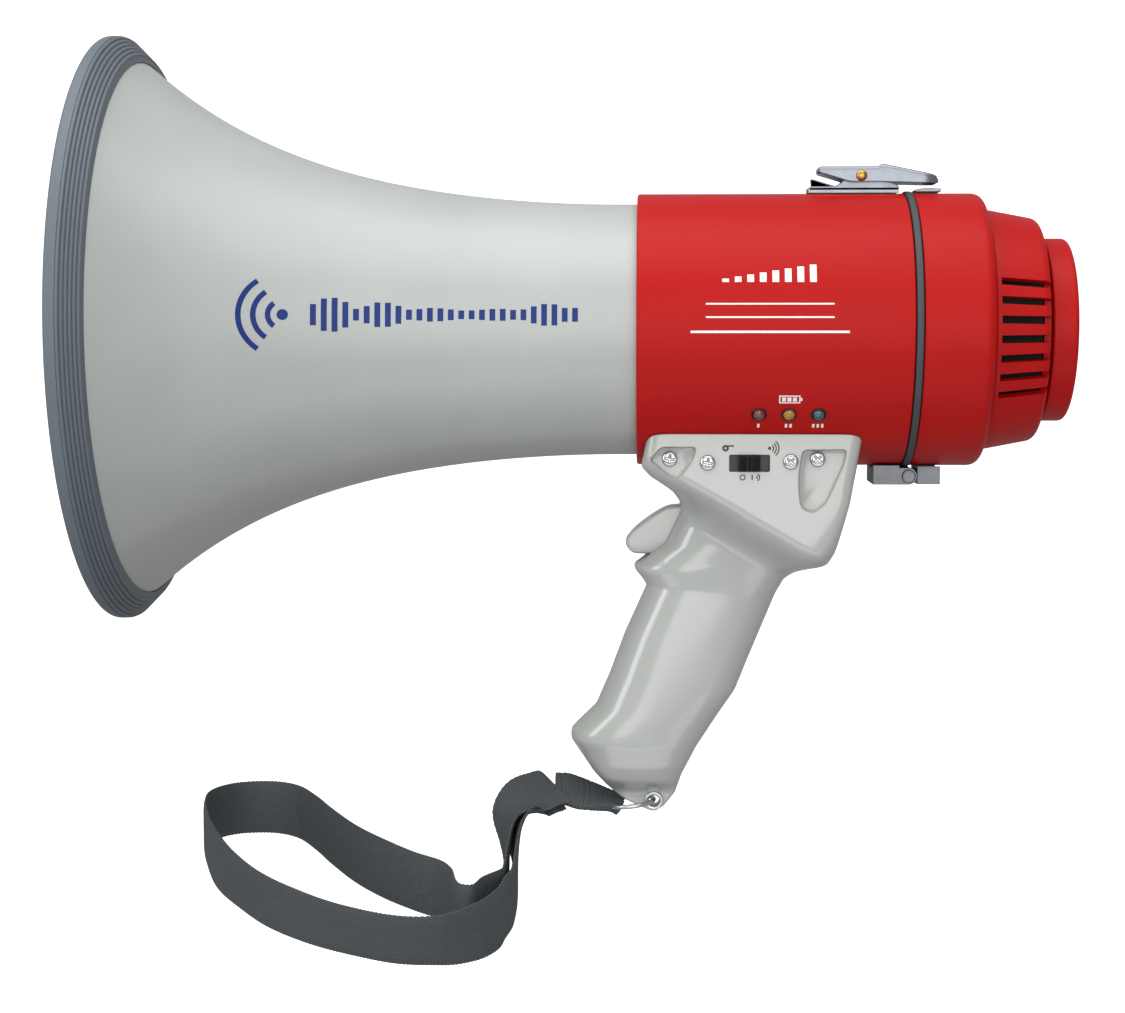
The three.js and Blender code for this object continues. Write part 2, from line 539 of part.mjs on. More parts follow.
const backSquareness = [
  [FLANGE_TOP, 9], [-60, 8], [-74, 5], [-82, 3.4], [-92, 2.8], [-150, 2.6], [-163, 3],
];
// The flange's flat sides end on this slanting line, and fall away to the grip below it.
const RIDGE = [[38, -51], [86, -79]];
const RIDGE_RISE = 4, RIDGE_FALL = 11;
const handleLevels = [
  FLANGE_TOP, -46.3, -49.8, -52.6, -56, -59.6, -64, -70, -75.7, -79, -80.8, -82, -84, -86.6,
  -89.4, -100, -110, -121, -132.4, -138.2, -141, -144, -150, -155.5, -158.5, -161.2, -163,
  -165.9, -169.1, -170.2,
];

function handleWidth(x, z) {
  const [[x0, z0], [x1, z1]] = RIDGE;
  const above = ((x1 - x0) * (z - z0) - (z1 - z0) * (x - x0)) / Math.hypot(x1 - x0, z1 - z0);
  const t = Math.min(1, Math.max(0, (above + RIDGE_FALL) / (RIDGE_FALL + RIDGE_RISE)));
  return mix(along(gripWidth, z), SADDLE_HALF, t * t * (3 - 2 * t));
}

// A stack of rounded sections between the front and back edges, inset by a wall.
function handleBody(inset, levels) {
  const around = 20;
  const positions = [], index = [];
  for (const z of levels) {
    const front = along(frontEdge, z) + inset, back = along(backEdge, z) - inset;
    for (let i = 0; i < around; i++) {
      const angle = 2 * Math.PI * (i + 0.5) / around;
      const c = Math.cos(angle), s = Math.sin(angle);
      const power = 2 / along(c > 0 ? backSquareness : frontSquareness, z);
      const x = (front + back) / 2 + (back - front) / 2 * Math.sign(c) * Math.abs(c) ** power;
      const width = handleWidth(x, z) - inset;
      positions.push(x, width * Math.sign(s) * Math.abs(s) ** power, z);
    }
  }
  for (let row = 0; row + 1 < levels.length; row++) {
    for (let i = 0; i < around; i++) {
      const a = row * around + i, b = row * around + (i + 1) % around;
      index.push(a, b, a + around, b, b + around, a + around);
    }
  }
  const last = (levels.length - 1) * around;
  for (let i = 1; i + 1 < around; i++) {
    index.push(0, i + 1, i);
    index.push(last, last + i, last + i + 1);
  }
  const geometry = new THREE.BufferGeometry();
  geometry.setAttribute('position', new THREE.Float32BufferAttribute(positions, 3));
  geometry.setIndex(index);
  return solid(geometry);
}

const flangeCut = turned([
  [0, 0], [0, HOUSING_R + GAP], [180, HOUSING_R + GAP], [180, 0],
]);
const cavityCut = turned([
  [0, 0], [0, HOUSING_R + HANDLE_WALL], [180, HOUSING_R + HANDLE_WALL], [180, 0],
]);
const cavityLevels = handleLevels.filter(z => z <= -46 && z >= -150);
const POCKET = 3;
const pocketOutlines = [
  [[30.5, -9.4], [34.5, -4.9], [46.5, -4.9], [45.5, -9.1], [40.5, -15.9], [37.5, -15.1]],
  [[82, -5.8], [97, -5.6], [96.3, -10.1], [90, -24.1], [85.5, -27.4], [81.5, -25.1], [80.6, -15.6]],
].map(outline => outline.map(([x, below]) => [x, SEAT_Z + below]));
// A pocket's outline grown about its middle, which stays solid behind the pocket.
function landOutline(outline) {
  const middle = [0, 1].map(k => outline.reduce((sum, p) => sum + p[k], 0) / outline.length);
  return outline.map(p => {
    const grow = 1 + HANDLE_WALL / Math.hypot(p[0] - middle[0], p[1] - middle[1]);
    return p.map((value, k) => mix(middle[k], value, grow));
  });
}
let cavity = handleBody(HANDLE_WALL, cavityLevels).subtract(cavityCut);
for (const outline of pocketOutlines) {
  cavity = cavity.subtract(prismY(landOutline(outline), -SADDLE_HALF - 1, SADDLE_HALF + 1));
}
const [trigX, trigZ] = TRIGGER_PIVOT;
const pivotRod = (low, high, radius) => rod([trigX, low, trigZ], [trigX, high, trigZ], radius);
const slideLow = [SLIDE_CENTRE[0] - SLIDE_SLOT[0] / 2, SLIDE_CENTRE[1] - SLIDE_SLOT[1] / 2];
const slideHigh = [SLIDE_CENTRE[0] + SLIDE_SLOT[0] / 2, SLIDE_CENTRE[1] + SLIDE_SLOT[1] / 2];
const SWITCH_FACE = -SADDLE_HALF + HANDLE_WALL;
const SWITCH_DEPTH = 6;
const switchScrews = [[50.2, SEAT_Z - 10.1], [78.1, SEAT_Z - 9.7]];
const bodyScrews = [[37.5, SEAT_Z - 9], [87.3, SEAT_Z - 9]];

const BOSS_R = TRIGGER_PIN_R + 2.2;
function handleHalf(near) {
  let half = handleBody(0, handleLevels).subtract(flangeCut);
  half = half.subtract(near
    ? box([-50, -GAP / 2, -250], [200, 80, 0]) : box([-50, -80, -250], [200, GAP / 2, 0]));
  half = half.subtract(cavity);
  const side = near ? -1 : 1;
  const boss = pivotRod(Math.min(side * 9.5, side * 19), Math.max(side * 9.5, side * 19), BOSS_R);
  half = half.add(boss.intersect(handleBody(0.5, handleLevels)));
  half = half.subtract(pivotRod(-14, 14, TRIGGER_PIN_R + GAP / 2));
  half = half.subtract(pivotRod(0, 9.5, TRIGGER_PIN_R + 2));
  half = half.subtract(box([-10, -TRIGGER_HALF - GAP, trigZ - 16.9],
    [trigX + 8, TRIGGER_HALF + GAP, trigZ + 5]));
  half = half.subtract(rod([EYE[0], -10, EYE[1]], [EYE[0], 10, EYE[1]],
    EYE_R + EYELET_WALL + GAP / 2));
  const face = side * (SADDLE_HALF - POCKET);
  for (const outline of pocketOutlines) {
    half = half.subtract(prismY(outline, Math.min(face, side * 60), Math.max(face, side * 60)));
  }
  for (const [x, z] of bodyScrews) {
    half = half.subtract(rod([x, side * 10, z], [x, side * 60, z], SCREW_SHANK_R + GAP));
  }
  return half;
}
let nearHalf = handleHalf(true);
for (const [x, z] of switchScrews) {
  nearHalf = nearHalf.subtract(rod([x, -60, z], [x, -10, z], SCREW_SHANK_R + GAP));
}
nearHalf = nearHalf.subtract(box([slideLow[0], -60, slideLow[1]], [slideHigh[0], -20, slideHigh[1]]));
nearHalf = nearHalf.subtract(box(
  [slideLow[0] - 5, SWITCH_FACE - GAP, slideLow[1] - 3],
  [slideHigh[0] + 5, SWITCH_FACE + SWITCH_DEPTH + 3, slideHigh[1] + 1.5]));
addPiece(handle, 'handle_near_half', nearHalf, HANDLE_GREY);
addPiece(handle, 'handle_far_half', handleHalf(false), HANDLE_GREY);

// Screws: a pan head outside, a shank into the wall.
function screw(x, z, side, headY) {
  const y = side * headY;
  return join(rod([x, y, z], [x, y + side * 1.3, z], SCREW_HEAD_R),
    rod([x, y + side * 0.2, z], [x, y - side * 7, z], SCREW_SHANK_R));
}
switchScrews.forEach(([x, z], i) => addPiece(handle, `switch_screw_${i + 1}`,
  join(rod([x, -SADDLE_HALF - GAP, z], [x, -SADDLE_HALF - 1.4, z], SCREW_HEAD_R),
    rod([x, -SADDLE_HALF - 1, z], [x, -SADDLE_HALF + 4, z], SCREW_SHANK_R)), STEEL));
bodyScrews.forEach(([x, z], i) => {
  addPiece(handle, `handle_screw_near_${i + 1}`,
    screw(x, z, -1, SADDLE_HALF - POCKET + GAP), STEEL);
  addPiece(handle, `handle_screw_far_${i + 1}`,
    screw(x, z, 1, SADDLE_HALF - POCKET + GAP), STEEL);
});

addPiece(handle, 'trigger', prismY([
  [trigX + 3, trigZ + 3.5], [37.5, trigZ + 3.3], [32.6, -63.9], [27.7, -67.5], [25.2, -69.6],
  [22.4, -73.1], [22.4, -75.3], [24.6, -78.1], [36, -78.6], [trigX + 3, trigZ - 5],
], -TRIGGER_HALF, TRIGGER_HALF)
  .subtract(pivotRod(-20, 20, TRIGGER_PIN_R + GAP / 2)), HANDLE_GREY);
addPiece(handle, 'trigger_pin', pivotRod(-13, 13, TRIGGER_PIN_R), STEEL);

// Torsion spring round the trigger's pin, beside the trigger.
class Coil extends THREE.Curve {
  getPoint(t, target = new THREE.Vector3()) {
    const angle = 2 * Math.PI * 2.5 * t, radius = TRIGGER_PIN_R + 1.2;
    return target.set(trigX + radius * Math.cos(angle), TRIGGER_HALF + 1 + 3 * t,
      trigZ + radius * Math.sin(angle));
  }
}
const wire = new THREE.Shape([0, 1, 2, 3, 4, 5].map(i =>
  new THREE.Vector2(0.45 * Math.cos(i * Math.PI / 3), 0.45 * Math.sin(i * Math.PI / 3))));
addPiece(handle, 'trigger_spring', solid(new THREE.ExtrudeGeometry(wire,
  { steps: 36, extrudePath: new Coil() })), STEEL);
addPiece(handle, 'trigger_switch', join(
  box([trigX + 9, -3.2, trigZ - 14], [trigX + 21, 3.2, trigZ - 4]),
  box([trigX + 7.6, -1.2, trigZ - 9], [trigX + 9.2, 1.2, trigZ - 7])), BLACK);
addPiece(handle, 'slide_switch_body', box(
  [slideLow[0] - 4, SWITCH_FACE, slideLow[1] - 2],
  [slideHigh[0] + 4, SWITCH_FACE + SWITCH_DEPTH, slideHigh[1] + 0.6]), BLACK);
addPiece(handle, 'slide_switch_knob', box(
  [SLIDE_CENTRE[0] - SLIDE_KNOB[0] / 2, -SADDLE_HALF - 2.4, SLIDE_CENTRE[1] - SLIDE_KNOB[1] / 2],
  [SLIDE_CENTRE[0] + SLIDE_KNOB[0] / 2, SWITCH_FACE - GAP * 1.5,
    SLIDE_CENTRE[1] + SLIDE_KNOB[1] / 2]), BLACK);

// ---- eyelet, ring and wrist strap ----------------------------------------------------------------
const carry = addGroup();
const eyeTube = (low, high, outer) => rod([EYE[0], low, EYE[1]], [EYE[0], high, EYE[1]], outer);
const eyeTabHalf = 2.3;
addPiece(carry, 'lanyard_eyelet', join(
  eyeTube(-eyeTabHalf - 0.6, eyeTabHalf + 0.6, EYE_R + EYELET_WALL),
  eyeTube(-eyeTabHalf - 1, -eyeTabHalf - GAP, EYE_R + EYELET_WALL + 0.8),
  eyeTube(eyeTabHalf + GAP, eyeTabHalf + 1, EYE_R + EYELET_WALL + 0.8),
).subtract(eyeTube(-10, 10, EYE_R)), STEEL);

const RING_DIP = radians(7);
const ringCentre = [EYE[0] - RING_R * Math.cos(RING_DIP), EYE[1] - RING_R * Math.sin(RING_DIP)];
const ringGeometry = new THREE.TorusGeometry(RING_R, RING_WIRE_R, 6, 26)
  .rotateY(-RING_DIP).translate(ringCentre[0], 0, ringCentre[1]);
addPiece(carry, 'lanyard_ring', solid(ringGeometry), STEEL);

// The doubled, stitched end of the webbing, folded round the ring.
const RING_FAR = [ringCentre[0] - RING_R * Math.cos(RING_DIP),
  ringCentre[1] - RING_R * Math.sin(RING_DIP)];
const SEWN_HALF = 4.4;
addPiece(carry, 'strap_sewn_end', prismY([
  [RING_FAR[0] + 4.8, RING_FAR[1] - 1.2], [RING_FAR[0] + 4.8, RING_FAR[1] + 1.8],
  [RING_FAR[0] + 3.2, RING_FAR[1] + 3.1], [RING_FAR[0] - 3, RING_FAR[1] + 4.6],
  [0.2, -158.9], [-0.6, -164.9], [RING_FAR[0] - 2, RING_FAR[1] - 3],
  [RING_FAR[0] + 3.2, RING_FAR[1] - 2.6],
], -SEWN_HALF, SEWN_HALF).subtract(prismY([
  [RING_FAR[0] - 1.3, RING_FAR[1] - 1.3], [RING_FAR[0] + 3.2, RING_FAR[1] - 1.0],
  [RING_FAR[0] + 3.2, RING_FAR[1] + 1.5], [RING_FAR[0] - 1.3, RING_FAR[1] + 1.3],
], -20, 20)), WEBBING);

// Route of the webbing: place, then the direction of its width. Both runs share the pair's
// points, one on each side of them; the loop then goes round on the surface below.
const PAIR = [
  [-2.4, -2.5, -162.8, 0.1, 0.92, 0.35], [-6.6, -5, -163.4, 0, 0.88, 0.42],
  [-12.2, -9, -165.2, -0.35, 0.8, 0.45], [-15.9, -14, -169, -0.5, 0.85, 0.12],
  [-16.6, -20, -175, -0.25, 0.9, -0.35], [-16.3, -28, -182, -0.08, 0.75, -0.65],
  [-16, -38, -187.2, 0, 0.45, -0.9], [-16.2, -49, -189.4, 0, 0.1, -1],
];
const LOOP = [
  [-16.3, -62, -189.5, 0, 0, -1], [-17.8, -76, -189.5, 0, 0.1, -1],
  [-23.5, -89, -189.8, 0, 0.3, -1], [-34, -97, -190.5, 0, 0.5, -1],
  [-48, -96, -190.8, 0, 0.55, -1], [-65, -86, -190.8, 0, 0.55, -1],
  [-82, -71.5, -190.5, 0, 0.45, -1], [-98, -53, -190, 0.05, 0.3, -1],
  [-112, -29, -189.5, 0.05, 0.15, -1], [-123, -5, -189.3, 0, 0, -1],
  [-132, 22, -189.3, 0, 0, -1], [-139, 50, -189.3, 0, 0, -1],
  [-139.5, 67, -189.3, 0, 0, -1], [-132.5, 79, -189.3, 0, -0.05, -1],
  [-119, 82, -189.3, 0, -0.1, -1], [-107.5, 74.5, -189.3, 0, -0.1, -1],
  [-97.5, 56, -189.3, 0, -0.1, -1], [-87.5, 33, -189.3, 0, -0.1, -1],
  [-75, 7, -189.3, 0, -0.1, -1], [-62, -14, -189.3, 0, -0.1, -1],
  [-50, -30, -189.3, 0, 0, -1], [-40, -41, -189.3, 0, 0, -1],
  [-35, -52, -189.3, 0, 0, -1], [-33, -63, -189.3, 0, 0, -1],
  [-30.5, -71.5, -189.3, 0, 0, -1], [-26, -72.5, -189.3, 0, 0, -1],
  [-23.5, -62.5, -189.3, 0, 0, -1],
];
const LAYER_STEP = STRAP_THICK + 1.3;

function strapFrames(rows, count) {
  const place = new THREE.CatmullRomCurve3(rows.map(r => new THREE.Vector3(r[0], r[1], r[2])));
  const width = new THREE.CatmullRomCurve3(rows.map(r => new THREE.Vector3(r[3], r[4], r[5])));
  return Array.from({ length: count + 1 }, (_, i) => {
    const t = i / count;
    const onward = place.getTangent(t);
    const across = width.getPoint(t);
    across.addScaledVector(onward, -across.dot(onward)).normalize();
    return { at: place.getPoint(t), across, normal: onward.clone().cross(across) };
  });
}
const PAIR_STEPS = 3;            // frames between two of the pair's points
const pairFrames = strapFrames([...PAIR, LOOP[0]], PAIR_STEPS * PAIR.length)
  .slice(0, PAIR_STEPS * (PAIR.length - 1) + 1);
const layer = side => pairFrames.map(({ at, across, normal }) => {
  const p = at.clone().addScaledVector(normal, side * LAYER_STEP / 2);
  return [...p.toArray(), ...across.toArray()];
});
const strapRows = [...layer(1), ...LOOP, ...layer(-1).reverse()];
const STRAP_STEPS = 140;
const strapOutline = [[1, 1], [0, 1], [-1, 1], [-1, -1], [0, -1], [1, -1]];

// The webbing carried through some of its frames, closed at both ends.
function webbingRun(frames) {
  const sides = strapOutline.length, last = sides * (frames.length - 1);
  const positions = [], index = [];
  for (const { at, across, normal } of frames) {
    for (const [u, v] of strapOutline) {
      positions.push(...at.clone().addScaledVector(across, u * STRAP_WIDTH / 2)
        .addScaledVector(normal, v * STRAP_THICK / 2).toArray());
    }
  }
  for (let start = 0; start < last; start += sides) {
    for (let k = 0; k < sides; k++) {
      const a = start + k, b = start + (k + 1) % sides;
      index.push(a, b, a + sides, b, b + sides, a + sides);
    }
  }
  for (let k = 1; k + 1 < sides; k++) {
    index.push(0, k + 1, k);
    index.push(last, last + k, last + k + 1);
  }
  const geometry = new THREE.BufferGeometry();
  geometry.setAttribute('position', new THREE.Float32BufferAttribute(positions, 3));
  geometry.setIndex(index);
  return solid(geometry);
}
// The two ends press into each other where they twist together, so each half is a sweep of its
// own and the halves are joined.
const strapHalf = STRAP_STEPS / 2;
const webbingFrames = strapFrames(strapRows, STRAP_STEPS);
addPiece(carry, 'wrist_strap', join(webbingRun(webbingFrames.slice(0, strapHalf + 1)),
  webbingRun(webbingFrames.slice(strapHalf))), WEBBING);

megaphone.position.set(...GRIP_ORIGIN.map(v => -v));
export default megaphone;
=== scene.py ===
"""Handheld megaphone with a webbing wrist strap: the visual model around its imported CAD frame."""

import bmesh
import bpy
import numpy as np
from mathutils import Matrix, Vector


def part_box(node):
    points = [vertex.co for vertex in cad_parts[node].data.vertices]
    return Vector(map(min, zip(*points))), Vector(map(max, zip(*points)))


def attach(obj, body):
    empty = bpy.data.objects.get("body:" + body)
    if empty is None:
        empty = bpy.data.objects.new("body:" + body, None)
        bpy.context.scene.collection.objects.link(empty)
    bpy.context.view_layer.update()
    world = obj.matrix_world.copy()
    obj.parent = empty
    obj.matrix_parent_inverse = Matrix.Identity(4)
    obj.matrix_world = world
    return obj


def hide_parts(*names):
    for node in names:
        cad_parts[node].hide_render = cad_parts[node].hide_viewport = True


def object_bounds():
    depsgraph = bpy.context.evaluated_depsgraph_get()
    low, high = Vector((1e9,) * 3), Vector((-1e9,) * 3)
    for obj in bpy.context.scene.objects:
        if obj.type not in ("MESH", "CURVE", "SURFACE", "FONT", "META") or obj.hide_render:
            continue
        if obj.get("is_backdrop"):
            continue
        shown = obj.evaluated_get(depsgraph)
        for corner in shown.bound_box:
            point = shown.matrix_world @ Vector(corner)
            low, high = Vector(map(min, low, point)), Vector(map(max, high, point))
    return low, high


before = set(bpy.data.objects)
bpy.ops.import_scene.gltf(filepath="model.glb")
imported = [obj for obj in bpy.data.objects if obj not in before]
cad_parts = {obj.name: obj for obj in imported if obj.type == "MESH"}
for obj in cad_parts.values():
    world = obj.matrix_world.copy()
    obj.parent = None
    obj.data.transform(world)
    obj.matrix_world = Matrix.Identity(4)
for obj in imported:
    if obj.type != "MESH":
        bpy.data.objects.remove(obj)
cad_low, cad_high = (Vector(corner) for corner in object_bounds())

# ---- Camera, floor and light --------------------------------------------------------------
# A pale seamless sweep of painted board, lit by large soft boxes above and in front.
# Shapes below are written in the horn's own frame in millimetres: X along the horn's axis,
# mouth towards -X, and place() carries them into the part's frame.
MM = 0.001
HOUSING_FRONT = 26.2
housing_low, housing_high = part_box("front_housing")
HORN = np.array([housing_low.x - HOUSING_FRONT * MM, 0.0, (housing_low.z + housing_high.z) / 2])


def place(points):
    """Points in the horn's frame in millimetres, moved to the part's frame in metres."""
    return np.asarray(points, float) * MM + HORN


def linear(code):
    """An sRGB hex colour as linear red, green, blue and alpha."""
    srgb = np.array([int(code[i : i + 2], 16) for i in (1, 3, 5)]) / 255
    rgb = np.where(srgb <= 0.04045, srgb / 12.92, ((srgb + 0.055) / 1.055) ** 2.4)
    return (*rgb.tolist(), 1.0)


def add(tree, kind, settings=None, links=None):
    """Adds a shader node: settings go to its sockets or properties, links to its sockets."""
    made = tree.nodes.new("ShaderNode" + kind)
    for key, value in (settings or {}).items():
        if isinstance(key, int) or key in made.inputs:
            made.inputs[key].default_value = value
        else:
            setattr(made, key, value)
    for key, socket in (links or {}).items():
        tree.links.new(socket, made.inputs[key])
    return made


def new_material(name, settings):
    """An empty material with one Principled shader; returns it, its tree and the shader."""
    material = bpy.data.materials.new(name)
    material.use_nodes = True
    tree = material.node_tree
    tree.nodes.clear()
    shader = add(tree, "BsdfPrincipled", settings)
    add(tree, "OutputMaterial", links={"Surface": shader.outputs["BSDF"]})
    return material, tree, shader


def surface(name, points, around=True, along=False, uv=None, lids=False):
    """A grid of points, rows by columns, as a mesh; it closes round the columns, the rows
    or both, doubles at poles are merged and the faces are turned outwards. uv, a grid of
    pairs, becomes the piece's own map, and lids close the first and last rows flat."""
    rows, columns = points.shape[:2]
    index = np.arange(rows * columns).reshape(rows, columns)
    if around:
        index = np.concatenate([index, index[:, :1]], axis=1)
    if along:
        index = np.concatenate([index, index[:1]], axis=0)
    quads = np.stack([index[:-1, :-1], index[:-1, 1:], index[1:, 1:], index[1:, :-1]], -1)
    mesh = bpy.data.meshes.new(name)
    quads = quads.reshape(-1, 4)
    lid_faces = [index[0, :columns].tolist(), index[-1, :columns].tolist()] if lids else []
    mesh.from_pydata(place(points).reshape(-1, 3).tolist(), [], quads.tolist() + lid_faces)
    if uv is not None:
        layer = mesh.uv_layers.new(name="own_map")
        layer.data.foreach_set("uv", uv.reshape(-1, 2)[quads.ravel()].ravel())
    piece = bpy.data.objects.new(name, mesh)
    bpy.context.scene.collection.objects.link(piece)
    tidy(piece)
    return piece


def shut(rows):
    """The rows with each end drawn in to its own middle, so that the grid closes there."""
    ends = rows[[0, -1]].mean(1, keepdims=True).repeat(rows.shape[1], 1)
    return np.concatenate([ends[:1], rows, ends[1:]])


SHARP_DEGREES, MERGE_DISTANCE = 32, 2e-6


def tidy(piece):
    """Merges doubles, turns the faces outwards and marks edges sharper than an angle."""
    work = bmesh.new()
    work.from_mesh(piece.data)
    bmesh.ops.remove_doubles(work, verts=work.verts, dist=MERGE_DISTANCE)
    bmesh.ops.recalc_face_normals(work, faces=work.faces)
    for face in work.faces:
        face.smooth = True
    work.to_mesh(piece.data)
    work.free()
    piece.data.set_sharp_from_angle(angle=np.radians(SHARP_DEGREES))


def dress(piece, material, body, slot, *nodes):
    """Gives a piece its material and body, and hides the CAD nodes it stands for. slot is not used."""
    piece.data.materials.clear()
    piece.data.materials.append(material)
    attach(piece, body)
    if nodes:
        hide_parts(*nodes)
    return piece


VIEW_FROM = place([31.5, -751.0, 0.0])
VIEW_ALONG = Vector((-0.0417, 0.9957, -0.0823))
camera = bpy.data.objects.new("camera", bpy.data.cameras.new("camera"))
bpy.context.scene.collection.objects.link(camera)
camera.location = VIEW_FROM.tolist()
camera.rotation_euler = VIEW_ALONG.to_track_quat("-Z", "Y").to_euler()
camera.data.sensor_width = 36
camera.data.lens = 68.4
bpy.context.scene.camera = camera

board, _, _ = new_material("painted_board", {
    "Base Color": linear("#c8c8c8"), "Roughness": 0.9,
    "Emission Color": linear("#ffffff"), "Emission Strength": 1.0})
SWEEP_NEAR, SWEEP_BEND, SWEEP_RADIUS, SWEEP_TOP, SWEEP_HALF = -3000, 1100, 900.0, 4500, 3500.0
bend = np.linspace(0, np.pi / 2, 24)
sweep_y = np.concatenate([[SWEEP_NEAR, 0], SWEEP_BEND + SWEEP_RADIUS * np.sin(bend),
                          [SWEEP_BEND + SWEEP_RADIUS]])
sweep_z = np.concatenate([[0, 0], SWEEP_RADIUS * (1 - np.cos(bend)), [SWEEP_TOP]])
sweep_x = np.array([-SWEEP_HALF, SWEEP_HALF])
floor_z = (cad_low.z - HORN[2]) / MM
grid = np.stack(np.broadcast_arrays(sweep_x[None, :], sweep_y[:, None], sweep_z[:, None] + floor_z), -1)
backdrop = surface("backdrop", grid, around=False)
backdrop.data.materials.append(board)
if backdrop.data.polygons[0].normal.z < 0:
    backdrop.data.flip_normals()
backdrop.visible_diffuse = False
backdrop.visible_glossy = False
backdrop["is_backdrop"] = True


def soft_box(name, at, aim, size, power):
    """A square area light at a point, aimed at another, both in the horn's frame."""
    lamp = bpy.data.lights.new(name, "AREA")
    lamp.shape = "RECTANGLE"
    lamp.size, lamp.size_y = size[0] * MM, size[1] * MM
    lamp.energy = power
    light = bpy.data.objects.new(name, lamp)
    bpy.context.scene.collection.objects.link(light)
    start, end = Vector(place(at).tolist()), Vector(place(aim).tolist())
    light.location = start
    light.rotation_euler = (end - start).to_track_quat("-Z", "Y").to_euler()


soft_box("top_box", [-60, -250, 850], [0, 0, 0], (1500, 900), 11)
soft_box("left_box", [-900, -700, 250], [20, 0, -60], (300, 900), 4)
soft_box("front_box", [150, -1300, 120], [20, 0, -40], (1100, 900), 8)
soft_box("low_box", [0, -700, -700], [0, 0, 0], (1400, 500), 2.5)
world = bpy.data.worlds.new("room")
world.use_nodes = True
world.node_tree.nodes["Background"].inputs["Color"].default_value = linear("#ffffff")
world.node_tree.nodes["Background"].inputs["Strength"].default_value = 0.4
bpy.context.scene.world = world
bpy.context.scene.view_settings.view_transform = "Standard"

# ---- Wrist strap ---------------------------------------------------------------------------
# One length of woven polypropylene webbing, its two ends laid together and sewn. From the sewn
# end the two runs lie on each other, drop to the surface, then part into the hand's loop.
# A row is a point in metres and the direction of the webbing's width there.
PAIR = [
    (-0.0024, -0.0025, -0.1628, 0.1, 0.92, 0.35), (-0.0066, -0.005, -0.1634, 0, 0.88, 0.42),
    (-0.0122, -0.009, -0.1652, -0.35, 0.8, 0.45), (-0.0159, -0.014, -0.169, -0.5, 0.85, 0.12),
    (-0.0166, -0.02, -0.175, -0.25, 0.9, -0.35), (-0.0163, -0.028, -0.182, -0.08, 0.75, -0.65),
    (-0.016, -0.038, -0.1872, 0, 0.45, -0.9), (-0.0162, -0.049, -0.1894, 0, 0.1, -1),
]
LOOP = [
    (-0.0163, -0.062, -0.1895, 0, 0, -1), (-0.0178, -0.076, -0.1895, 0, 0.1, -1),
    (-0.0235, -0.089, -0.1898, 0, 0.3, -1), (-0.034, -0.097, -0.1905, 0, 0.5, -1),
    (-0.048, -0.096, -0.1908, 0, 0.55, -1), (-0.065, -0.086, -0.1908, 0, 0.55, -1),
    (-0.082, -0.0715, -0.1905, 0, 0.45, -1), (-0.098, -0.053, -0.19, 0.05, 0.3, -1),
    (-0.112, -0.029, -0.1895, 0.05, 0.15, -1), (-0.123, -0.005, -0.1893, 0, 0, -1),
    (-0.132, 0.022, -0.1893, 0, 0, -1), (-0.139, 0.05, -0.1893, 0, 0, -1),
    (-0.1395, 0.067, -0.1893, 0, 0, -1), (-0.1325, 0.079, -0.1893, 0, -0.05, -1),
    (-0.119, 0.082, -0.1893, 0, -0.1, -1), (-0.1075, 0.0745, -0.1893, 0, -0.1, -1),
    (-0.0975, 0.056, -0.1893, 0, -0.1, -1), (-0.0875, 0.033, -0.1893, 0, -0.1, -1),
    (-0.075, 0.007, -0.1893, 0, -0.1, -1), (-0.062, -0.014, -0.1893, 0, -0.1, -1),
    (-0.05, -0.03, -0.1893, 0, 0, -1), (-0.04, -0.041, -0.1893, 0, 0, -1),
    (-0.035, -0.052, -0.1893, 0, 0, -1), (-0.033, -0.063, -0.1893, 0, 0, -1),
    (-0.0305, -0.0715, -0.1893, 0, 0, -1), (-0.026, -0.0725, -0.1893, 0, 0, -1),
    (-0.0235, -0.0625, -0.1893, 0, 0, -1),
]
STRAP_WIDTH, STRAP_THICK, LAYER_STEP = 21.0, 1.7, 3.0
RIB_PITCH, RIB_RISE = 1.5, 0.16


def through(rows, count):
    """A uniform Catmull-Rom curve through the rows, at count equal parameter steps."""
    rows = np.asarray(rows, float)
    ends = np.concatenate([[2 * rows[0] - rows[1]], rows, [2 * rows[-1] - rows[-2]]])
    t = np.linspace(0, len(rows) - 1, count)
    i = np.minimum(t.astype(int), len(rows) - 2)
    f = (t - i)[:, None]
    a, b, c, d = (ends[i + k] for k in range(4))
    return 0.5 * (2 * b + (c - a) * f + (2 * a - 5 * b + 4 * c - d) * f**2 + (3 * b - a - 3 * c + d) * f**3)


def ribbon_frames(curve, count):
    """Centre, width direction and face normal along a dense curve, at equal lengths."""
    run = np.concatenate([[0], np.cumsum(np.linalg.norm(np.diff(curve[:, :3], axis=0), axis=1))])
    even = np.linspace(0, run[-1], count)
    path = np.stack([np.interp(even, run, curve[:, k]) for k in range(6)], -1)
    centre, across = path[:, :3], path[:, 3:]
    onward = np.gradient(centre, axis=0)
    onward /= np.linalg.norm(onward, axis=1)[:, None]
    across = across - (across * onward).sum(1)[:, None] * onward
    across /= np.linalg.norm(across, axis=1)[:, None]
    return centre, across, np.cross(onward, across), even


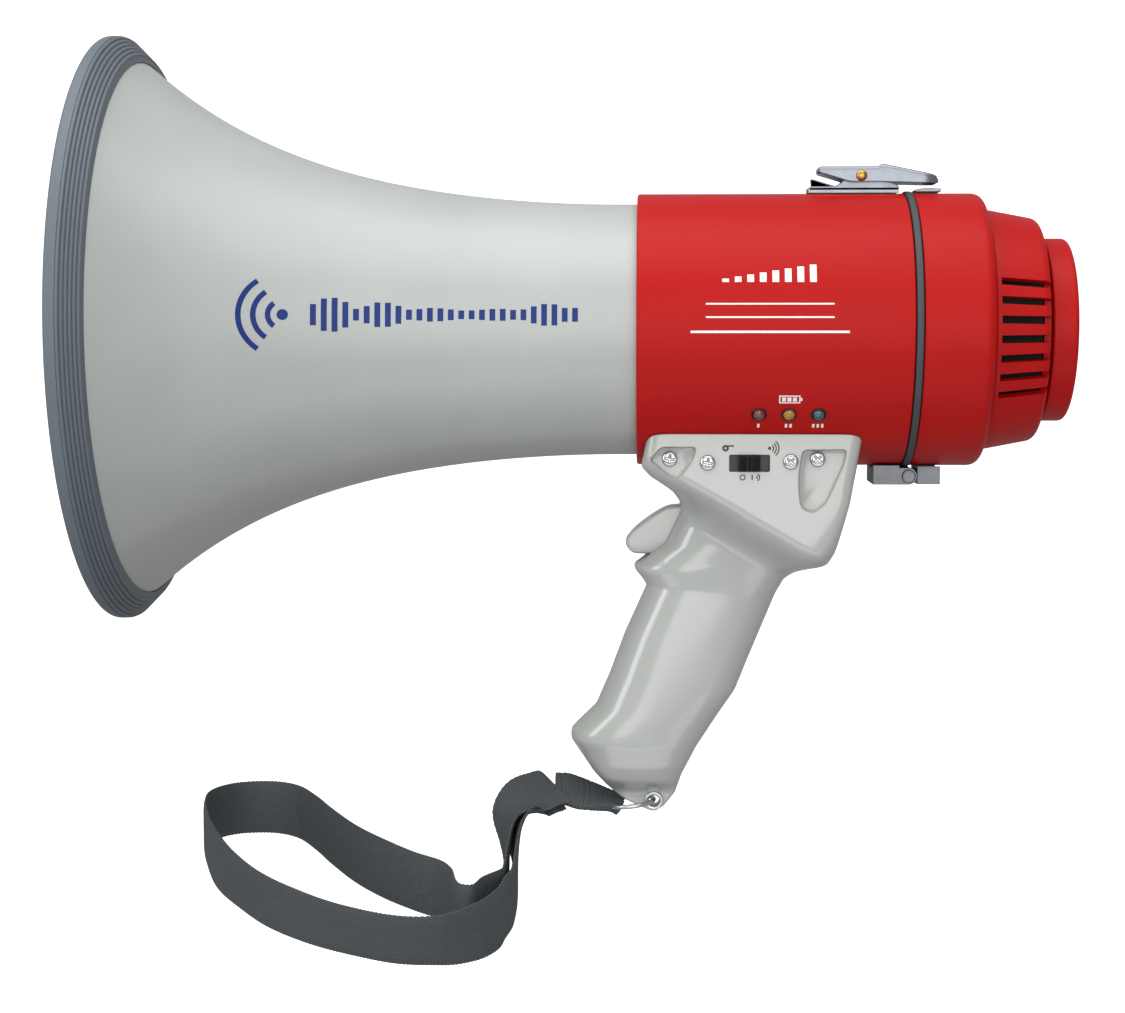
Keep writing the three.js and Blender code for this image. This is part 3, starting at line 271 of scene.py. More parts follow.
# the two runs of the pair lie on either side of one curve, and the loop joins their ends
pair, loop = np.array(PAIR, float), np.array(LOOP, float)
pair[:, :3] /= MM
loop[:, :3] /= MM
PER_SPAN = 60
dense = through(np.concatenate([pair, loop[:1]]), PER_SPAN * len(pair) + 1)[: PER_SPAN * (len(pair) - 1) + 1]
at, width_way, face_way, _ = ribbon_frames(dense, len(dense))
outer_run = np.concatenate([at + face_way * LAYER_STEP / 2, width_way], axis=1)
inner_run = np.concatenate([at - face_way * LAYER_STEP / 2, width_way], axis=1)[::-1]
bridge = np.concatenate([outer_run[[-PER_SPAN, -1]], loop, inner_run[[0, PER_SPAN - 1]]])
bridge_curve = through(bridge, PER_SPAN * (len(bridge) - 1) + 1)[PER_SPAN + 1 : -PER_SPAN - 1]
ROWS, COLUMNS = 1500, 13
centre, across, normal, run = ribbon_frames(np.concatenate([outer_run, bridge_curve, inner_run]), ROWS)
side = np.linspace(-1, 1, COLUMNS)
rib = RIB_RISE * np.abs(np.sin(np.pi * run / RIB_PITCH))[:, None]
edge = 1 - 0.75 * np.abs(side) ** 8
scallop = 1 + 0.012 * np.sin(2 * np.pi * run / RIB_PITCH)[:, None] * np.abs(side) ** 6
half_thick = (STRAP_THICK / 2 - RIB_RISE + rib) * edge
flat = centre[:, None] + across[:, None] * (side * scallop * STRAP_WIDTH / 2 * 0.98)[..., None]
ring = np.concatenate([
    flat + normal[:, None] * half_thick[..., None],
    (flat - normal[:, None] * half_thick[..., None])[:, ::-1],
], axis=1)
ring[0], ring[-1] = (centre[0] + centre[1]) / 2, (centre[-1] + centre[-2]) / 2


def tape_map(run):
    """The tape's own map in millimetres: along its run, and across it on both faces."""
    over = np.concatenate([side, side[::-1]]) * STRAP_WIDTH / 2
    return np.stack(np.broadcast_arrays(run[:, None], over), -1)


strap = surface("strap_webbing", ring, uv=tape_map(run))


def woven(name, code, shade_between_yarns, pitch):
    """Woven polypropylene tape: dull yarns over and under each other in both directions.
    The map is in millimetres, so two sine waves of the yarn's pitch make the weave, and the
    colour is darkened where the weave is low: painted shade between the yarns."""
    material, tree, shader = new_material(name, {"Roughness": 0.78, "IOR": 1.49})
    place_on = add(tree, "UVMap", {"uv_map": "own_map"})
    axes = add(tree, "SeparateXYZ", links={"Vector": place_on.outputs["UV"]})
    waves = []
    for axis, step in (("X", pitch), ("Y", pitch * 0.72)):
        turn = add(tree, "Math", {"operation": "MULTIPLY", 1: 2 * np.pi / step}, {0: axes.outputs[axis]})
        waves.append(add(tree, "Math", {"operation": "SINE"}, {0: turn.outputs[0]}))
    weave = add(tree, "Math", {"operation": "MULTIPLY"}, {0: waves[0].outputs[0], 1: waves[1].outputs[0]})
    lift = add(tree, "MapRange", {"From Min": -1.0, "From Max": 1.0}, {"Value": weave.outputs[0]})
    fuzz = add(tree, "TexNoise", {"Scale": 2.2, "Detail": 4.0}, {"Vector": place_on.outputs["UV"]})
    height = add(tree, "Math", {"operation": "MULTIPLY_ADD", 1: 0.35},
                 {0: fuzz.outputs[0], 2: lift.outputs[0]})
    # the low places of the weave take the darker colour: painted shade between the yarns
    shade = add(tree, "Mix", {"data_type": "RGBA", 6: linear(shade_between_yarns), 7: linear(code)},
                {0: height.outputs[0]})
    bump = add(tree, "Bump", {"Strength": 0.8, "Distance": 0.00025}, {"Height": height.outputs[0]})
    for key, socket in (("Base Color", shade.outputs[2]), ("Normal", bump.outputs[0])):
        tree.links.new(socket, shader.inputs[key])
    return material


# the second colour is painted shade for the weave's low places, not a second yarn colour
webbing = woven("woven_polypropylene", "#51575a", "#1d2122", 1.1)
dress(strap, webbing, "strap", "webbing", "wrist_strap")

# ---- Eyelet, ring and sewn end ---------------------------------------------------------------
# A plated steel eyelet pressed into the tip of the grip, a split ring of plated wire through
# it, and the webbing's doubled end folded round the ring and stitched across.
EYE = np.array([32.6, 0.0, -166.5])
RING_RADIUS, WIRE = 8.2, 0.8
RING_DIP = np.radians(7)


def turned(name, profile, count=256, axis="x", at=(0, 0, 0)):
    """A profile of (distance along, radius) turned round an axis through a point. A profile
    that starts off the axis closes on itself."""
    profile = np.asarray(profile, float)
    angle = np.linspace(0, 2 * np.pi, count, endpoint=False)
    c, s = profile[:, 1:] * np.cos(angle), profile[:, 1:] * np.sin(angle)
    t = np.broadcast_to(profile[:, :1], c.shape)
    grid = (t, c, s) if axis == "x" else (c, t, s)
    return surface(name, np.stack(grid, -1) + np.asarray(at, float), along=profile[0, 1] > 0)


def rounded(points, radius, steps=5, closed=True):
    """An outline whose corners are replaced by short parabolic arcs. radius is one number
    or one for each corner, and is limited by the sides that meet there."""
    points = np.asarray(points, float)
    count = len(points)
    radii = np.broadcast_to(np.asarray(radius, float), count)
    out = []
    for k in range(count):
        if not closed and k in (0, count - 1):
            out.append(points[k][None])
            continue
        before, corner, after = points[k - 1], points[k], points[(k + 1) % count]
        left, right = before - corner, after - corner
        reach = min(radii[k], 0.48 * np.linalg.norm(left), 0.48 * np.linalg.norm(right))
        if reach <= 0:
            out.append(corner[None])
            continue
        a = corner + left / np.linalg.norm(left) * reach
        b = corner + right / np.linalg.norm(right) * reach
        t = np.linspace(0, 1, steps)[:, None]
        out.append((1 - t) ** 2 * a + 2 * t * (1 - t) * corner + t**2 * b)
    return np.concatenate(out)


def plated(name, code, roughness, grain=(90, 900, 90)):
    """Stamped or drawn steel with a thin nickel plate: a soft mirror with faint grain from
    the rolls, and a slightly uneven roughness where hands have been."""
    material, tree, shader = new_material(name, {"Metallic": 1.0, "Base Color": linear(code)})
    where = add(tree, "TexCoord")
    stretch = add(tree, "Mapping", {"Scale": grain}, {"Vector": where.outputs["Object"]})
    streak = add(tree, "TexNoise", {"Scale": 4.0, "Detail": 3.0}, {"Vector": stretch.outputs[0]})
    spread = add(tree, "MapRange", {"To Min": roughness - 0.08, "To Max": roughness + 0.12},
                 {"Value": streak.outputs[0]})
    bump = add(tree, "Bump", {"Strength": 0.12, "Distance": 0.0001}, {"Height": streak.outputs[0]})
    tree.links.new(spread.outputs[0], shader.inputs["Roughness"])
    tree.links.new(bump.outputs[0], shader.inputs["Normal"])
    return material


steel = plated("nickel_plated_steel", "#b9bdc2", 0.3)
eyelet_profile = rounded([(-2.9, 1.9), (-3.3, 2.4), (-3.3, 3.2), (-2.7, 3.4), (-2.6, 2.55),
                          (2.6, 2.55), (2.7, 3.4), (3.3, 3.2), (3.3, 2.4), (2.9, 1.9)], 0.35)
eyelet = turned("grip_eyelet", eyelet_profile, 64, "y", EYE)
dress(eyelet, steel, "housing", "fitting_steel", "lanyard_eyelet")

# the ring: one loop of round wire tilted by a few degrees, its section narrowed a little at one place
angle = np.linspace(0, 2 * np.pi, 160, endpoint=False)[:, None]
section = np.linspace(0, 2 * np.pi, 20, endpoint=False)
radial = RING_RADIUS + WIRE * np.cos(section) * (1 - 0.12 * np.exp(-((angle - 2.2) / 0.06) ** 2))
flat_x, flat_y, lift = radial * np.cos(angle), radial * np.sin(angle), WIRE * np.sin(section) + 0 * angle
middle = EYE - RING_RADIUS * np.array([np.cos(RING_DIP), 0, np.sin(RING_DIP)])
ring_grid = np.stack([
    flat_x * np.cos(RING_DIP) - lift * np.sin(RING_DIP),
    flat_y,
    flat_x * np.sin(RING_DIP) + lift * np.cos(RING_DIP),
], -1) + middle
split_ring = surface("strap_ring", ring_grid, along=True)
dress(split_ring, steel, "strap", "fitting_steel", "lanyard_ring")

# the sewn end: a flat doubled tape carried from the ring to the loose runs, narrowed at the ring
ring_far = EYE - 2 * RING_RADIUS * np.array([np.cos(RING_DIP), 0, np.sin(RING_DIP)])
sewn_rows = np.array([
    [ring_far[0] + 4.6, 0, ring_far[2] - 0.6, 0, 1, 0.2],
    [ring_far[0] + 1.5, -0.3, ring_far[2] + 1.2, 0, 1, 0.3],
    [ring_far[0] - 3.5, -1.2, ring_far[2] + 2.6, 0, 0.9, 0.42], [6, -2.2, -164.1, 0.03, 0.85, 0.5],
    [1.5, -2.5, -162.6, 0.05, 0.85, 0.5], [-2.4, -2.8, -162.4, 0.1, 0.86, 0.48],
])
sewn_centre, sewn_across, sewn_normal, sewn_run = ribbon_frames(through(sewn_rows, 900), 240)
t = sewn_run / sewn_run[-1]
NECK_HALF, TAPE_HALF = 4.4, 7.6
sewn_half = NECK_HALF + (TAPE_HALF - NECK_HALF) * np.clip(t / 0.6, 0, 1)
stitch_row = np.exp(-((t[:, None] - np.array([0.5, 0.58, 0.9])) / 0.012) ** 2).sum(1)
sewn_thick = 2.3 + 0.1 * np.abs(np.sin(np.pi * sewn_run / RIB_PITCH)) - 0.35 * stitch_row
pucker = 0.5 * np.clip(1 - t / 0.5, 0, 1)[:, None] * np.cos(3 * np.pi * side)
flat = sewn_centre[:, None] + sewn_across[:, None] * (side * sewn_half[:, None])[..., None]
up = sewn_normal[:, None] * ((sewn_thick[:, None] + pucker) * edge)[..., None]
down = sewn_normal[:, None] * ((sewn_thick[:, None] - pucker) * edge)[..., None]
sewn_ring = np.concatenate([flat + up, (flat - down)[:, ::-1]], axis=1)
sewn_ring[[0, -1]] = sewn_centre[[0, -1], None]
sewn_end = surface("strap_sewn_end_tape", sewn_ring, uv=tape_map(sewn_run))
dress(sewn_end, webbing, "strap", "webbing", "strap_sewn_end")

place(centre[0]).tolist()
place(centre[::6]).tolist()

# ---- Horn bell and reflector ------------------------------------------------------------------
# Injection-moulded ABS in a warm light grey: the flared bell, and inside it the reflector cup
# that folds the sound path back. Smooth turned shapes with the gloss of a polished mould.
BELL_BACK, BELL_STRAIGHT, BELL_MOUTH = 34.0, 22.0, -152.0
THROAT_RADIUS, MOUTH_RADIUS, BELL_WALL = 43.5, 99.0, 2.5
SKIRT_END = -144.9


def moulded(name, code, roughness, coat=0.0, grain=0.3, mottle=0.05, scale=2300.0, specular=0.5):
    """Moulded plastic: one colour with faint flow mottling, a fine grain in the surface and
    a gloss that varies a little where it has been handled."""
    material, tree, shader = new_material(name, {
        "IOR": 1.53, "Specular IOR Level": specular, "Coat Weight": coat, "Coat Roughness": 0.1})
    where = add(tree, "TexCoord")
    cloud = add(tree, "TexNoise", {"Scale": 28.0, "Detail": 6.0}, {"Vector": where.outputs["Object"]})
    fine = add(tree, "TexNoise", {"Scale": scale, "Detail": 2.0}, {"Vector": where.outputs["Object"]})
    base = np.array(linear(code))
    low, high = base * (1 - mottle), base * (1 + mottle)
    low[3] = high[3] = 1.0
    both = add(tree, "Math", {"operation": "MULTIPLY_ADD", 1: 0.5}, {0: fine.outputs[0], 2: cloud.outputs[0]})
    part = add(tree, "MapRange", {"From Min": 0.45, "From Max": 1.05}, {"Value": both.outputs[0]})
    shade = add(tree, "Mix", {"data_type": "RGBA", 6: low.tolist(), 7: high.tolist()}, {0: part.outputs[0]})
    rough = add(tree, "MapRange", {"To Min": roughness - 0.06, "To Max": roughness + 0.08},
                {"Value": cloud.outputs[0]})
    bump = add(tree, "Bump", {"Strength": grain, "Distance": 0.00004}, {"Height": fine.outputs[0]})
    for key, socket in (("Base Color", shade.outputs[2]), ("Roughness", rough.outputs[0]),
                        ("Normal", bump.outputs[0])):
        tree.links.new(socket, shader.inputs[key])
    return material


def bell_radius(x):
    """Outer radius of the bell: a quadratic throat that steepens towards the mouth."""
    t = np.clip((BELL_STRAIGHT - x) / (BELL_STRAIGHT - BELL_MOUTH), 0, None)
    return THROAT_RADIUS + (MOUTH_RADIUS - THROAT_RADIUS) * (0.56 * t**2 + 0.44 * t**4.5)


def bell_curve(depth, stations):
    """The bell's outline moved in by a depth along its normal."""
    slope = bell_radius(stations + 0.5) - bell_radius(stations - 0.5)
    length = np.hypot(1, slope)
    return np.stack([stations + depth * slope / length, bell_radius(stations) - depth / length], -1)


stations = np.linspace(BELL_STRAIGHT, BELL_MOUTH, 130)
inner_wall = bell_curve(BELL_WALL, stations)[::-1]
inner_wall = inner_wall[inner_wall[:, 0] > BELL_MOUTH + 0.4]
TUBE_HOLE = 9.3
bell_profile = np.concatenate([
    rounded([(BELL_BACK, TUBE_HOLE), (BELL_BACK, THROAT_RADIUS), (BELL_STRAIGHT + 1, THROAT_RADIUS)],
            1.2, closed=False),
    bell_curve(0, stations),
    [[BELL_MOUTH, MOUTH_RADIUS - 2.6]],
    inner_wall,
    rounded([(BELL_BACK - 9, THROAT_RADIUS - BELL_WALL), (BELL_BACK - 3, THROAT_RADIUS - BELL_WALL - 8),
             (BELL_BACK - 3, TUBE_HOLE)], 3, closed=False),
])
horn_plastic = moulded("moulded_abs_light_grey", "#a6aaa7", 0.38, grain=0.3)
bell = turned("horn_bell_moulding", bell_profile)
dress(bell, horn_plastic, "housing", "horn", "horn_bell")

quarter = np.linspace(np.pi / 2, 0, 28)
cup_profile = np.concatenate([
    np.stack([-82 + 14 * (1 - np.sin(quarter)), 31 * np.cos(quarter)], -1),
    rounded([(-66, 31.05), (-4, 32.9), (-2, 33.6), (-2, 31.4), (-5, 31.1), (-62, 29.05)], 1.2, closed=False),
    np.stack([-80 + 14 * (1 - np.sin(quarter)), 29 * np.cos(quarter)], -1)[::-1],
])
cup = turned("reflector_cup_moulding", cup_profile, 160)
dress(cup, horn_plastic, "housing", "horn", "reflector_cup")

tube_profile = rounded([
    (-58, 15), (26.7, 9.29), (26.7, 15), (30.7, 15), (30.7, 9), (34, 9), (34, 7), (-58, 13),
], 0.7)
throat = turned("throat_tube_moulding", tube_profile, 128)
dress(throat, horn_plastic, "housing", "horn", "throat_tube")

# ---- Rubber rim -------------------------------------------------------------------------------
# A blue-grey thermoplastic rubber guard moulded over the bell's edge: a plain lip in front and
# six fine ribs down the sloping skirt, closed on the bell's outside.
RIM_FRONT, RIM_RADIUS, RIM_INSIDE, RIM_LIP, RIM_RIBS = -155.4, 101.5, 94.0, 4.1, 6
rim_rubber = moulded("moulded_rubber_blue_grey", "#59626a", 0.55, grain=0.5, mottle=0.08, scale=1500.0)
slide = np.linspace(0, 1, 97)[:, None]
slope_from = np.array([RIM_FRONT + RIM_LIP, RIM_RADIUS])
slope_to = np.array([SKIRT_END, bell_radius(SKIRT_END) + 2.6])
slope_out = np.array([slope_from[1] - slope_to[1], slope_to[0] - slope_from[0]])
slope_out /= np.linalg.norm(slope_out)
ribs = slope_from + (slope_to - slope_from) * slide
ribs = ribs + slope_out * (0.62 * np.abs(np.sin(np.pi * RIM_RIBS * slide)) ** 0.55 - 0.42)
seat = bell_curve(-0.3, np.linspace(SKIRT_END, BELL_MOUTH, 20))
rim_profile = np.concatenate([
    rounded([(RIM_FRONT + 1.2, RIM_INSIDE), (RIM_FRONT, RIM_INSIDE + 1), (RIM_FRONT, RIM_RADIUS - 0.4),
             (RIM_FRONT + 0.9, RIM_RADIUS + 0.1), (RIM_FRONT + RIM_LIP - 0.3, RIM_RADIUS)], 1.3,
            closed=False),
    ribs, seat, [[BELL_MOUTH - 0.3, MOUTH_RADIUS + 0.3], [BELL_MOUTH - 0.3, RIM_INSIDE]],
])
rim = turned("bell_rim_guard", rim_profile, 320)
dress(rim, rim_rubber, "housing", "rim_rubber", "bell_rim")

# ---- Red housing, seal and lamps --------------------------------------------------------------
# The amplifier housing is a moulded red sleeve over the bell's throat, with three small battery
# lamps set low on the near side. A dark rubber seal lies between it and the rear cover.
HOUSING_RADIUS, HOUSING_BACK = 47.0, 117.6
red_plastic = moulded("moulded_abs_signal_red", "#a80d0b", 0.44, grain=0.3, mottle=0.04, specular=0.14)
LAMP_X = np.array([67.0, 77.0, 86.8])
LAMP_ANGLE = np.radians(36.6)
lamp_out = np.array([0.0, -np.cos(LAMP_ANGLE), -np.sin(LAMP_ANGLE)])
HOUSING_BORE = 43.8
housing_profile = rounded([
    (HOUSING_FRONT, HOUSING_BORE), (HOUSING_FRONT, HOUSING_RADIUS), (HOUSING_BACK, HOUSING_RADIUS),
    (HOUSING_BACK, HOUSING_BORE),
], [0.2, 1.1, 0.5, 0.2], 7)
shell = turned("front_housing_sleeve", housing_profile)


def dowel(at, direction, radius, length, count=48):
    """A plain cutter round a line through a point, long enough to pass through a wall."""
    direction = np.asarray(direction, float) / np.linalg.norm(direction)
    first = np.cross(direction, [0.0, 0.3, 1.0])
    first /= np.linalg.norm(first)
    second = np.cross(direction, first)
    angle = np.linspace(0, 2 * np.pi, count, endpoint=False)
    loop = radius * (np.cos(angle)[:, None] * first + np.sin(angle)[:, None] * second)
    half = direction * length / 2
    return surface("cutter", shut(np.stack([loop + np.asarray(at) - half, loop + np.asarray(at) + half])))


def cut(piece, cutters, operation="DIFFERENCE"):
    """Applies one exact Boolean of the piece with each cutter, and removes the cutters."""
    for cutter in cutters:
        modifier = piece.modifiers.new("cut", "BOOLEAN")
        modifier.operation = operation
        modifier.solver = "EXACT"
        modifier.object = cutter
        shown = piece.evaluated_get(bpy.context.evaluated_depsgraph_get())
        whole = bpy.data.meshes.new_from_object(shown)
        piece.modifiers.clear()
        piece.data = whole
        bpy.data.objects.remove(cutter)
    tidy(piece)
    return piece


LAMP_HOLE, LAMP_HOLE_DEPTH = 2.65, 14
cut(shell, [dowel([x, *(lamp_out * HOUSING_RADIUS)[1:]], lamp_out, LAMP_HOLE, LAMP_HOLE_DEPTH) for x in LAMP_X])
dress(shell, red_plastic, "housing", "red_shell", "front_housing")


def lens(name, code, glow):
    """A tinted epoxy lamp: translucent, its tint mixed by noise with a lighter one, a painted glow of light
    inside the dome.
    """
    material, tree, shader = new_material(name, {
        "Roughness": 0.08, "IOR": 1.5, "Transmission Weight": 0.35, "Coat Weight": 0.4})
    where = add(tree, "TexCoord")
    spot = add(tree, "TexNoise", {"Scale": 420.0, "Detail": 2.0}, {"Vector": where.outputs["Object"]})
    shade = add(tree, "Mix", {"data_type": "RGBA", 6: linear(code), 7: linear(glow)}, {0: spot.outputs[0]})
    tree.links.new(shade.outputs[2], shader.inputs["Base Color"])
    return material


def along_axis(name, profile, start, direction, count=40):
    """A profile of (distance, radius) turned round any line from a point."""
    direction = np.asarray(direction, float) / np.linalg.norm(direction)
    first = np.cross(direction, [1.0, 0, 0])
    first /= np.linalg.norm(first)
    second = np.cross(direction, first)
    profile = np.asarray(profile, float)
    angle = np.linspace(0, 2 * np.pi, count, endpoint=False)[:, None]
    turn = np.cos(angle) * first + np.sin(angle) * second
    points = np.asarray(start, float) + profile[:, None, :1] * direction + profile[:, None, 1:] * turn
    return surface(name, points, along=profile[0, 1] > 0)


dome = np.linspace(0, np.pi / 2, 12)
lamp_profile = np.concatenate([
    [[43.1, 0], [43.1, 2.1]],
    np.stack([47.05 + 1.5 * np.sin(dome), 2.02 * np.cos(dome)], -1),
])
bezel_profile = rounded([
    (43.5, 2.12), (47.15, 2.12), (47.45, 2.3), (47.4, 2.6), (46.98, 2.62), (43.5, 2.62),
], 0.12)
# each lamp: CAD node, tint, a lighter tint mixed in as painted glow, slot
LAMPS = (("led_low", "#5e2624", "#a8584c", "led_red"), ("led_mid", "#9c6414", "#e2a941", "led_amber"),
         ("led_high", "#203b45", "#55808c", "led_green"))
dark_plastic = moulded("moulded_abs_black", "#17181a", 0.42, grain=0.35, mottle=0.1)
for (node, code, glow, slot_name), x in zip(LAMPS, LAMP_X):
    lamp = along_axis(node + "_lens", lamp_profile, [x, 0, 0], lamp_out)
    dress(lamp, lens("tinted_epoxy_" + node, code, glow), "housing", slot_name, node)
    bezel = along_axis(node + "_bezel", bezel_profile, [x, 0, 0], lamp_out)
    dress(bezel, dark_plastic, "housing", "black_plastic")

seal_rubber = moulded("extruded_rubber_dark", "#363b40", 0.62, grain=0.5, mottle=0.1)
seal_profile = rounded([
    (117.9, 43), (117.9, 47.45), (118.3, 47.75), (119.8, 47.75), (120.2, 47.45), (120.2, 43),
], 0.4)
seal = turned("seal_ring_gasket", seal_profile)
dress(seal, seal_rubber, "housing", "seal_rubber", "seal_ring")

# ---- Rear cover and vent drum ------------------------------------------------------------------
# The rear cover is a deep red lid with a rounded shoulder, hinged below and latched on top. The
# vented drum on it narrows in a step and has a fan of slots on each side.
COVER_FRONT, COVER_BACK = 120.5, 144.5
cover_profile = rounded([
    (COVER_FRONT, 44), (COVER_FRONT, HOUSING_RADIUS), (COVER_BACK, HOUSING_RADIUS), (COVER_BACK, 33),
    (COVER_BACK - 2.5, 33), (COVER_BACK - 2.5, 44),
], [0.3, 0.5, 4.2, 0.3, 0.3, 1.5], 12)
cover = turned("rear_cover_lid", cover_profile)
dress(cover, red_plastic, "rear_cover", "red_shell", "rear_cover")

DRUM_FRONT, DRUM_BACK = 144.8, 163.5
drum_profile = rounded([
    (DRUM_FRONT, 39.3), (DRUM_FRONT, 41.5), (DRUM_FRONT + 2.6, 41.2), (DRUM_BACK, 38.1), (DRUM_BACK, 29),
    (DRUM_BACK + 1.2, 29), (DRUM_BACK + 1.2, 26.8), (DRUM_BACK - 2.2, 26.8), (DRUM_BACK - 2.2, 36),
], [0.2, 0.5, 2.0, 2.8, 0.2, 0.2, 0.2, 0.2, 1.2], 9)
drum = turned("vent_drum_shell", drum_profile)


def slab(low, high, tilt=0.0):
    """A box cutter between two corners, turned by an angle about the horn's axis."""
    loop = np.array([[low[1], low[2]], [high[1], low[2]], [high[1], high[2]], [low[1], high[2]]])
    loop = np.array([[np.cos(tilt), -np.sin(tilt)], [np.sin(tilt), np.cos(tilt)]]).dot(loop.T).T
    rows = [np.concatenate([np.full((4, 1), x), loop], axis=1) for x in (low[0], high[0])]
    return surface("cutter", shut(np.stack(rows)))


SLOT_COUNT, SLOT_STEP, SLOT_FIRST, SLOT_WIDTH = 7, np.radians(9.1), np.radians(-23), 2.6
SLOT_INNER, SLOT_OUTER = 34.7, 48
slots = []
for tilt in SLOT_FIRST + np.arange(SLOT_COUNT) * SLOT_STEP:
    for turn, (inner, outer) in ((tilt, (-SLOT_OUTER, -SLOT_INNER)), (-tilt, (SLOT_INNER, SLOT_OUTER))):
        slots.append(slab([DRUM_FRONT + 1.6, inner, -SLOT_WIDTH / 2],
                          [DRUM_BACK + 0.1, outer, SLOT_WIDTH / 2], turn))
cut(drum, slots)
dress(drum, red_plastic, "rear_cover", "red_shell", "vent_drum")

# a black sleeve just inside the drum behind the slots: a dark sheet that paints the shade seen through the
# vents
liner_profile = rounded([(145.2, 33.2), (145.2, 34.2), (160.9, 34.2), (160.9, 33.2)], 0.2)
liner = turned("vent_drum_liner", liner_profile, 96)
slot_shade_black = moulded("black_slot_shade_liner", "#141516", 0.9, grain=0.9, mottle=0.3, scale=900.0)
dress(liner, slot_shade_black, "rear_cover", "black_plastic")

# ---- Microphone cap, grille and volume knob ------------------------------------------------------
# The mouthpiece behind the drum: a red cap with a shallow dish, a black grille over the
# microphone, and a small fluted volume knob below it.
CAP_FRONT, CAP_BACK, CAP_RADIUS, CAP_DISH, CAP_CLEAR = 165.0, 173.7, 31.5, 2.2, 0.3
MIC_Z, MIC_RADIUS, KNOB_Z, KNOB_RADIUS = 9.0, 11.0, -15.0, 6.5
cap_profile = rounded([
    (CAP_FRONT, 0), (CAP_FRONT, CAP_RADIUS), (CAP_BACK, CAP_RADIUS), (CAP_BACK, CAP_RADIUS - 4),
    (CAP_BACK - CAP_DISH, CAP_RADIUS - 6), (CAP_BACK - CAP_DISH, 0),
], [0, 0.9, 2.6, 1.2, 1.6, 0], 9, closed=False)
cap = turned("mic_cap_moulding", cap_profile)
cut(cap, [
    dowel([CAP_BACK, 0, MIC_Z], [1, 0, 0], MIC_RADIUS + CAP_CLEAR, 2 * (CAP_DISH + 2), 72),
    dowel([CAP_FRONT, 0, MIC_Z], [1, 0, 0], 5.3, 20, 48),
    dowel([CAP_BACK, 0, KNOB_Z], [1, 0, 0], KNOB_RADIUS + CAP_CLEAR, 2 * (CAP_DISH + 2.5), 64),
    dowel([CAP_FRONT, 0, KNOB_Z], [1, 0, 0], 3.3, 20, 48),
])
dress(cap, red_plastic, "rear_cover", "red_shell", "mic_cap")

grille_front = CAP_BACK - CAP_DISH - 1.7
grille = turned("mic_grille_moulding", rounded([
    (grille_front, 0), (grille_front, MIC_RADIUS - 0.1), (grille_front + 2.1, MIC_RADIUS - 0.1),
    (grille_front + 2.4, 0),
], [0, 0.2, 0.7, 0], 6, closed=False), 96, at=(0, 0, MIC_Z))
BAR_STEP, OPENING_HALF = 2.6, 0.75
gaps = []
for rise in BAR_STEP * np.arange(-3, 4):
    half = np.sqrt((MIC_RADIUS - 1.6) ** 2 - rise**2)
    gaps.append(slab([grille_front - 1, -half, MIC_Z + rise - OPENING_HALF],
                     [grille_front + 4, half, MIC_Z + rise + OPENING_HALF]))
cut(grille, gaps)
dress(grille, dark_plastic, "rear_cover", "black_plastic", "mic_grille")

knob_front = CAP_BACK - CAP_DISH - 2.2
KNOB_FLUTES = 24
angle = np.linspace(0, 2 * np.pi, KNOB_FLUTES * 8, endpoint=False)
knob_rows = rounded([
    (knob_front, 0), (knob_front, KNOB_RADIUS - 0.1), (knob_front + 3.8, KNOB_RADIUS - 0.9),
    (knob_front + 3.5, 0),
], [0, 0.3, 0.8, 0], 7, closed=False)
flute = 1 - 0.045 * np.abs(np.sin(KNOB_FLUTES / 2 * angle)) ** 0.6
reach = knob_rows[:, 1:] * np.where(knob_rows[:, 1:] > KNOB_RADIUS - 1.6, flute, 1.0)
knob_grid = np.stack([np.broadcast_to(knob_rows[:, :1], reach.shape), reach * np.cos(angle),
                      reach * np.sin(angle) + KNOB_Z], -1)
knob = surface("volume_knob_fluted", knob_grid)
dress(knob, dark_plastic, "volume_knob", "black_plastic", "volume_knob")
pointer_grid = np.array([
    [[knob_front + 3.2, -0.45, KNOB_Z + z], [knob_front + 3.2, 0.45, KNOB_Z + z],
     [knob_front + 3.95, 0.3, KNOB_Z + z], [knob_front + 3.95, -0.3, KNOB_Z + z]]
    for z in (0.8, 4.6)])
pointer = surface("volume_knob_pointer", shut(pointer_grid))
white_paint = moulded("pad_printed_white", "#e4e3df", 0.5, grain=0.2)
dress(pointer, white_paint, "volume_knob", "black_plastic")

# ---- Handle halves ------------------------------------------------------------------------------
# Two glossy light grey mouldings that meet on the middle plane: a square-cornered flange under
# the housing that sweeps down into a rounded pistol grip. Sunk pockets hold the screws.
SADDLE_HALF, HANDLE_WALL, POCKET_DEPTH = 32.0, 2.6, 3.0
FRONT_EDGE = [
    (-28, 31), (-46.3, 27.8), (-49.8, 30.8), (-52.6, 35), (-55.4, 38.6), (-59.6, 41.4), (-64, 41),
    (-74, 36), (-80, 28), (-82, 25.2), (-84, 25.8), (-86.6, 28), (-89.4, 29.8), (-106.6, 22.1),
    (-121, 16.8), (-132.4, 11.9), (-138.2, 5.9), (-141, 3.2), (-144, 3.2), (-155.5, 10.9),
    (-161.2, 15.9), (-165.9, 21.2), (-169.1, 27.6), (-170.2, 31.5),
]
BACK_EDGE = [
    (-28, 103.8), (-35, 102.8), (-47, 100.7), (-58, 98.8), (-75.7, 94.4), (-80.8, 92.1),
    (-82, 87.5), (-83.8, 82), (-86.6, 78), (-92, 75), (-114.9, 65.6), (-126.3, 61.1),
    (-135, 55.2), (-146.5, 47.8),
    (-156.7, 42.5), (-163.9, 40.1), (-169, 36), (-170.2, 33.5),
]
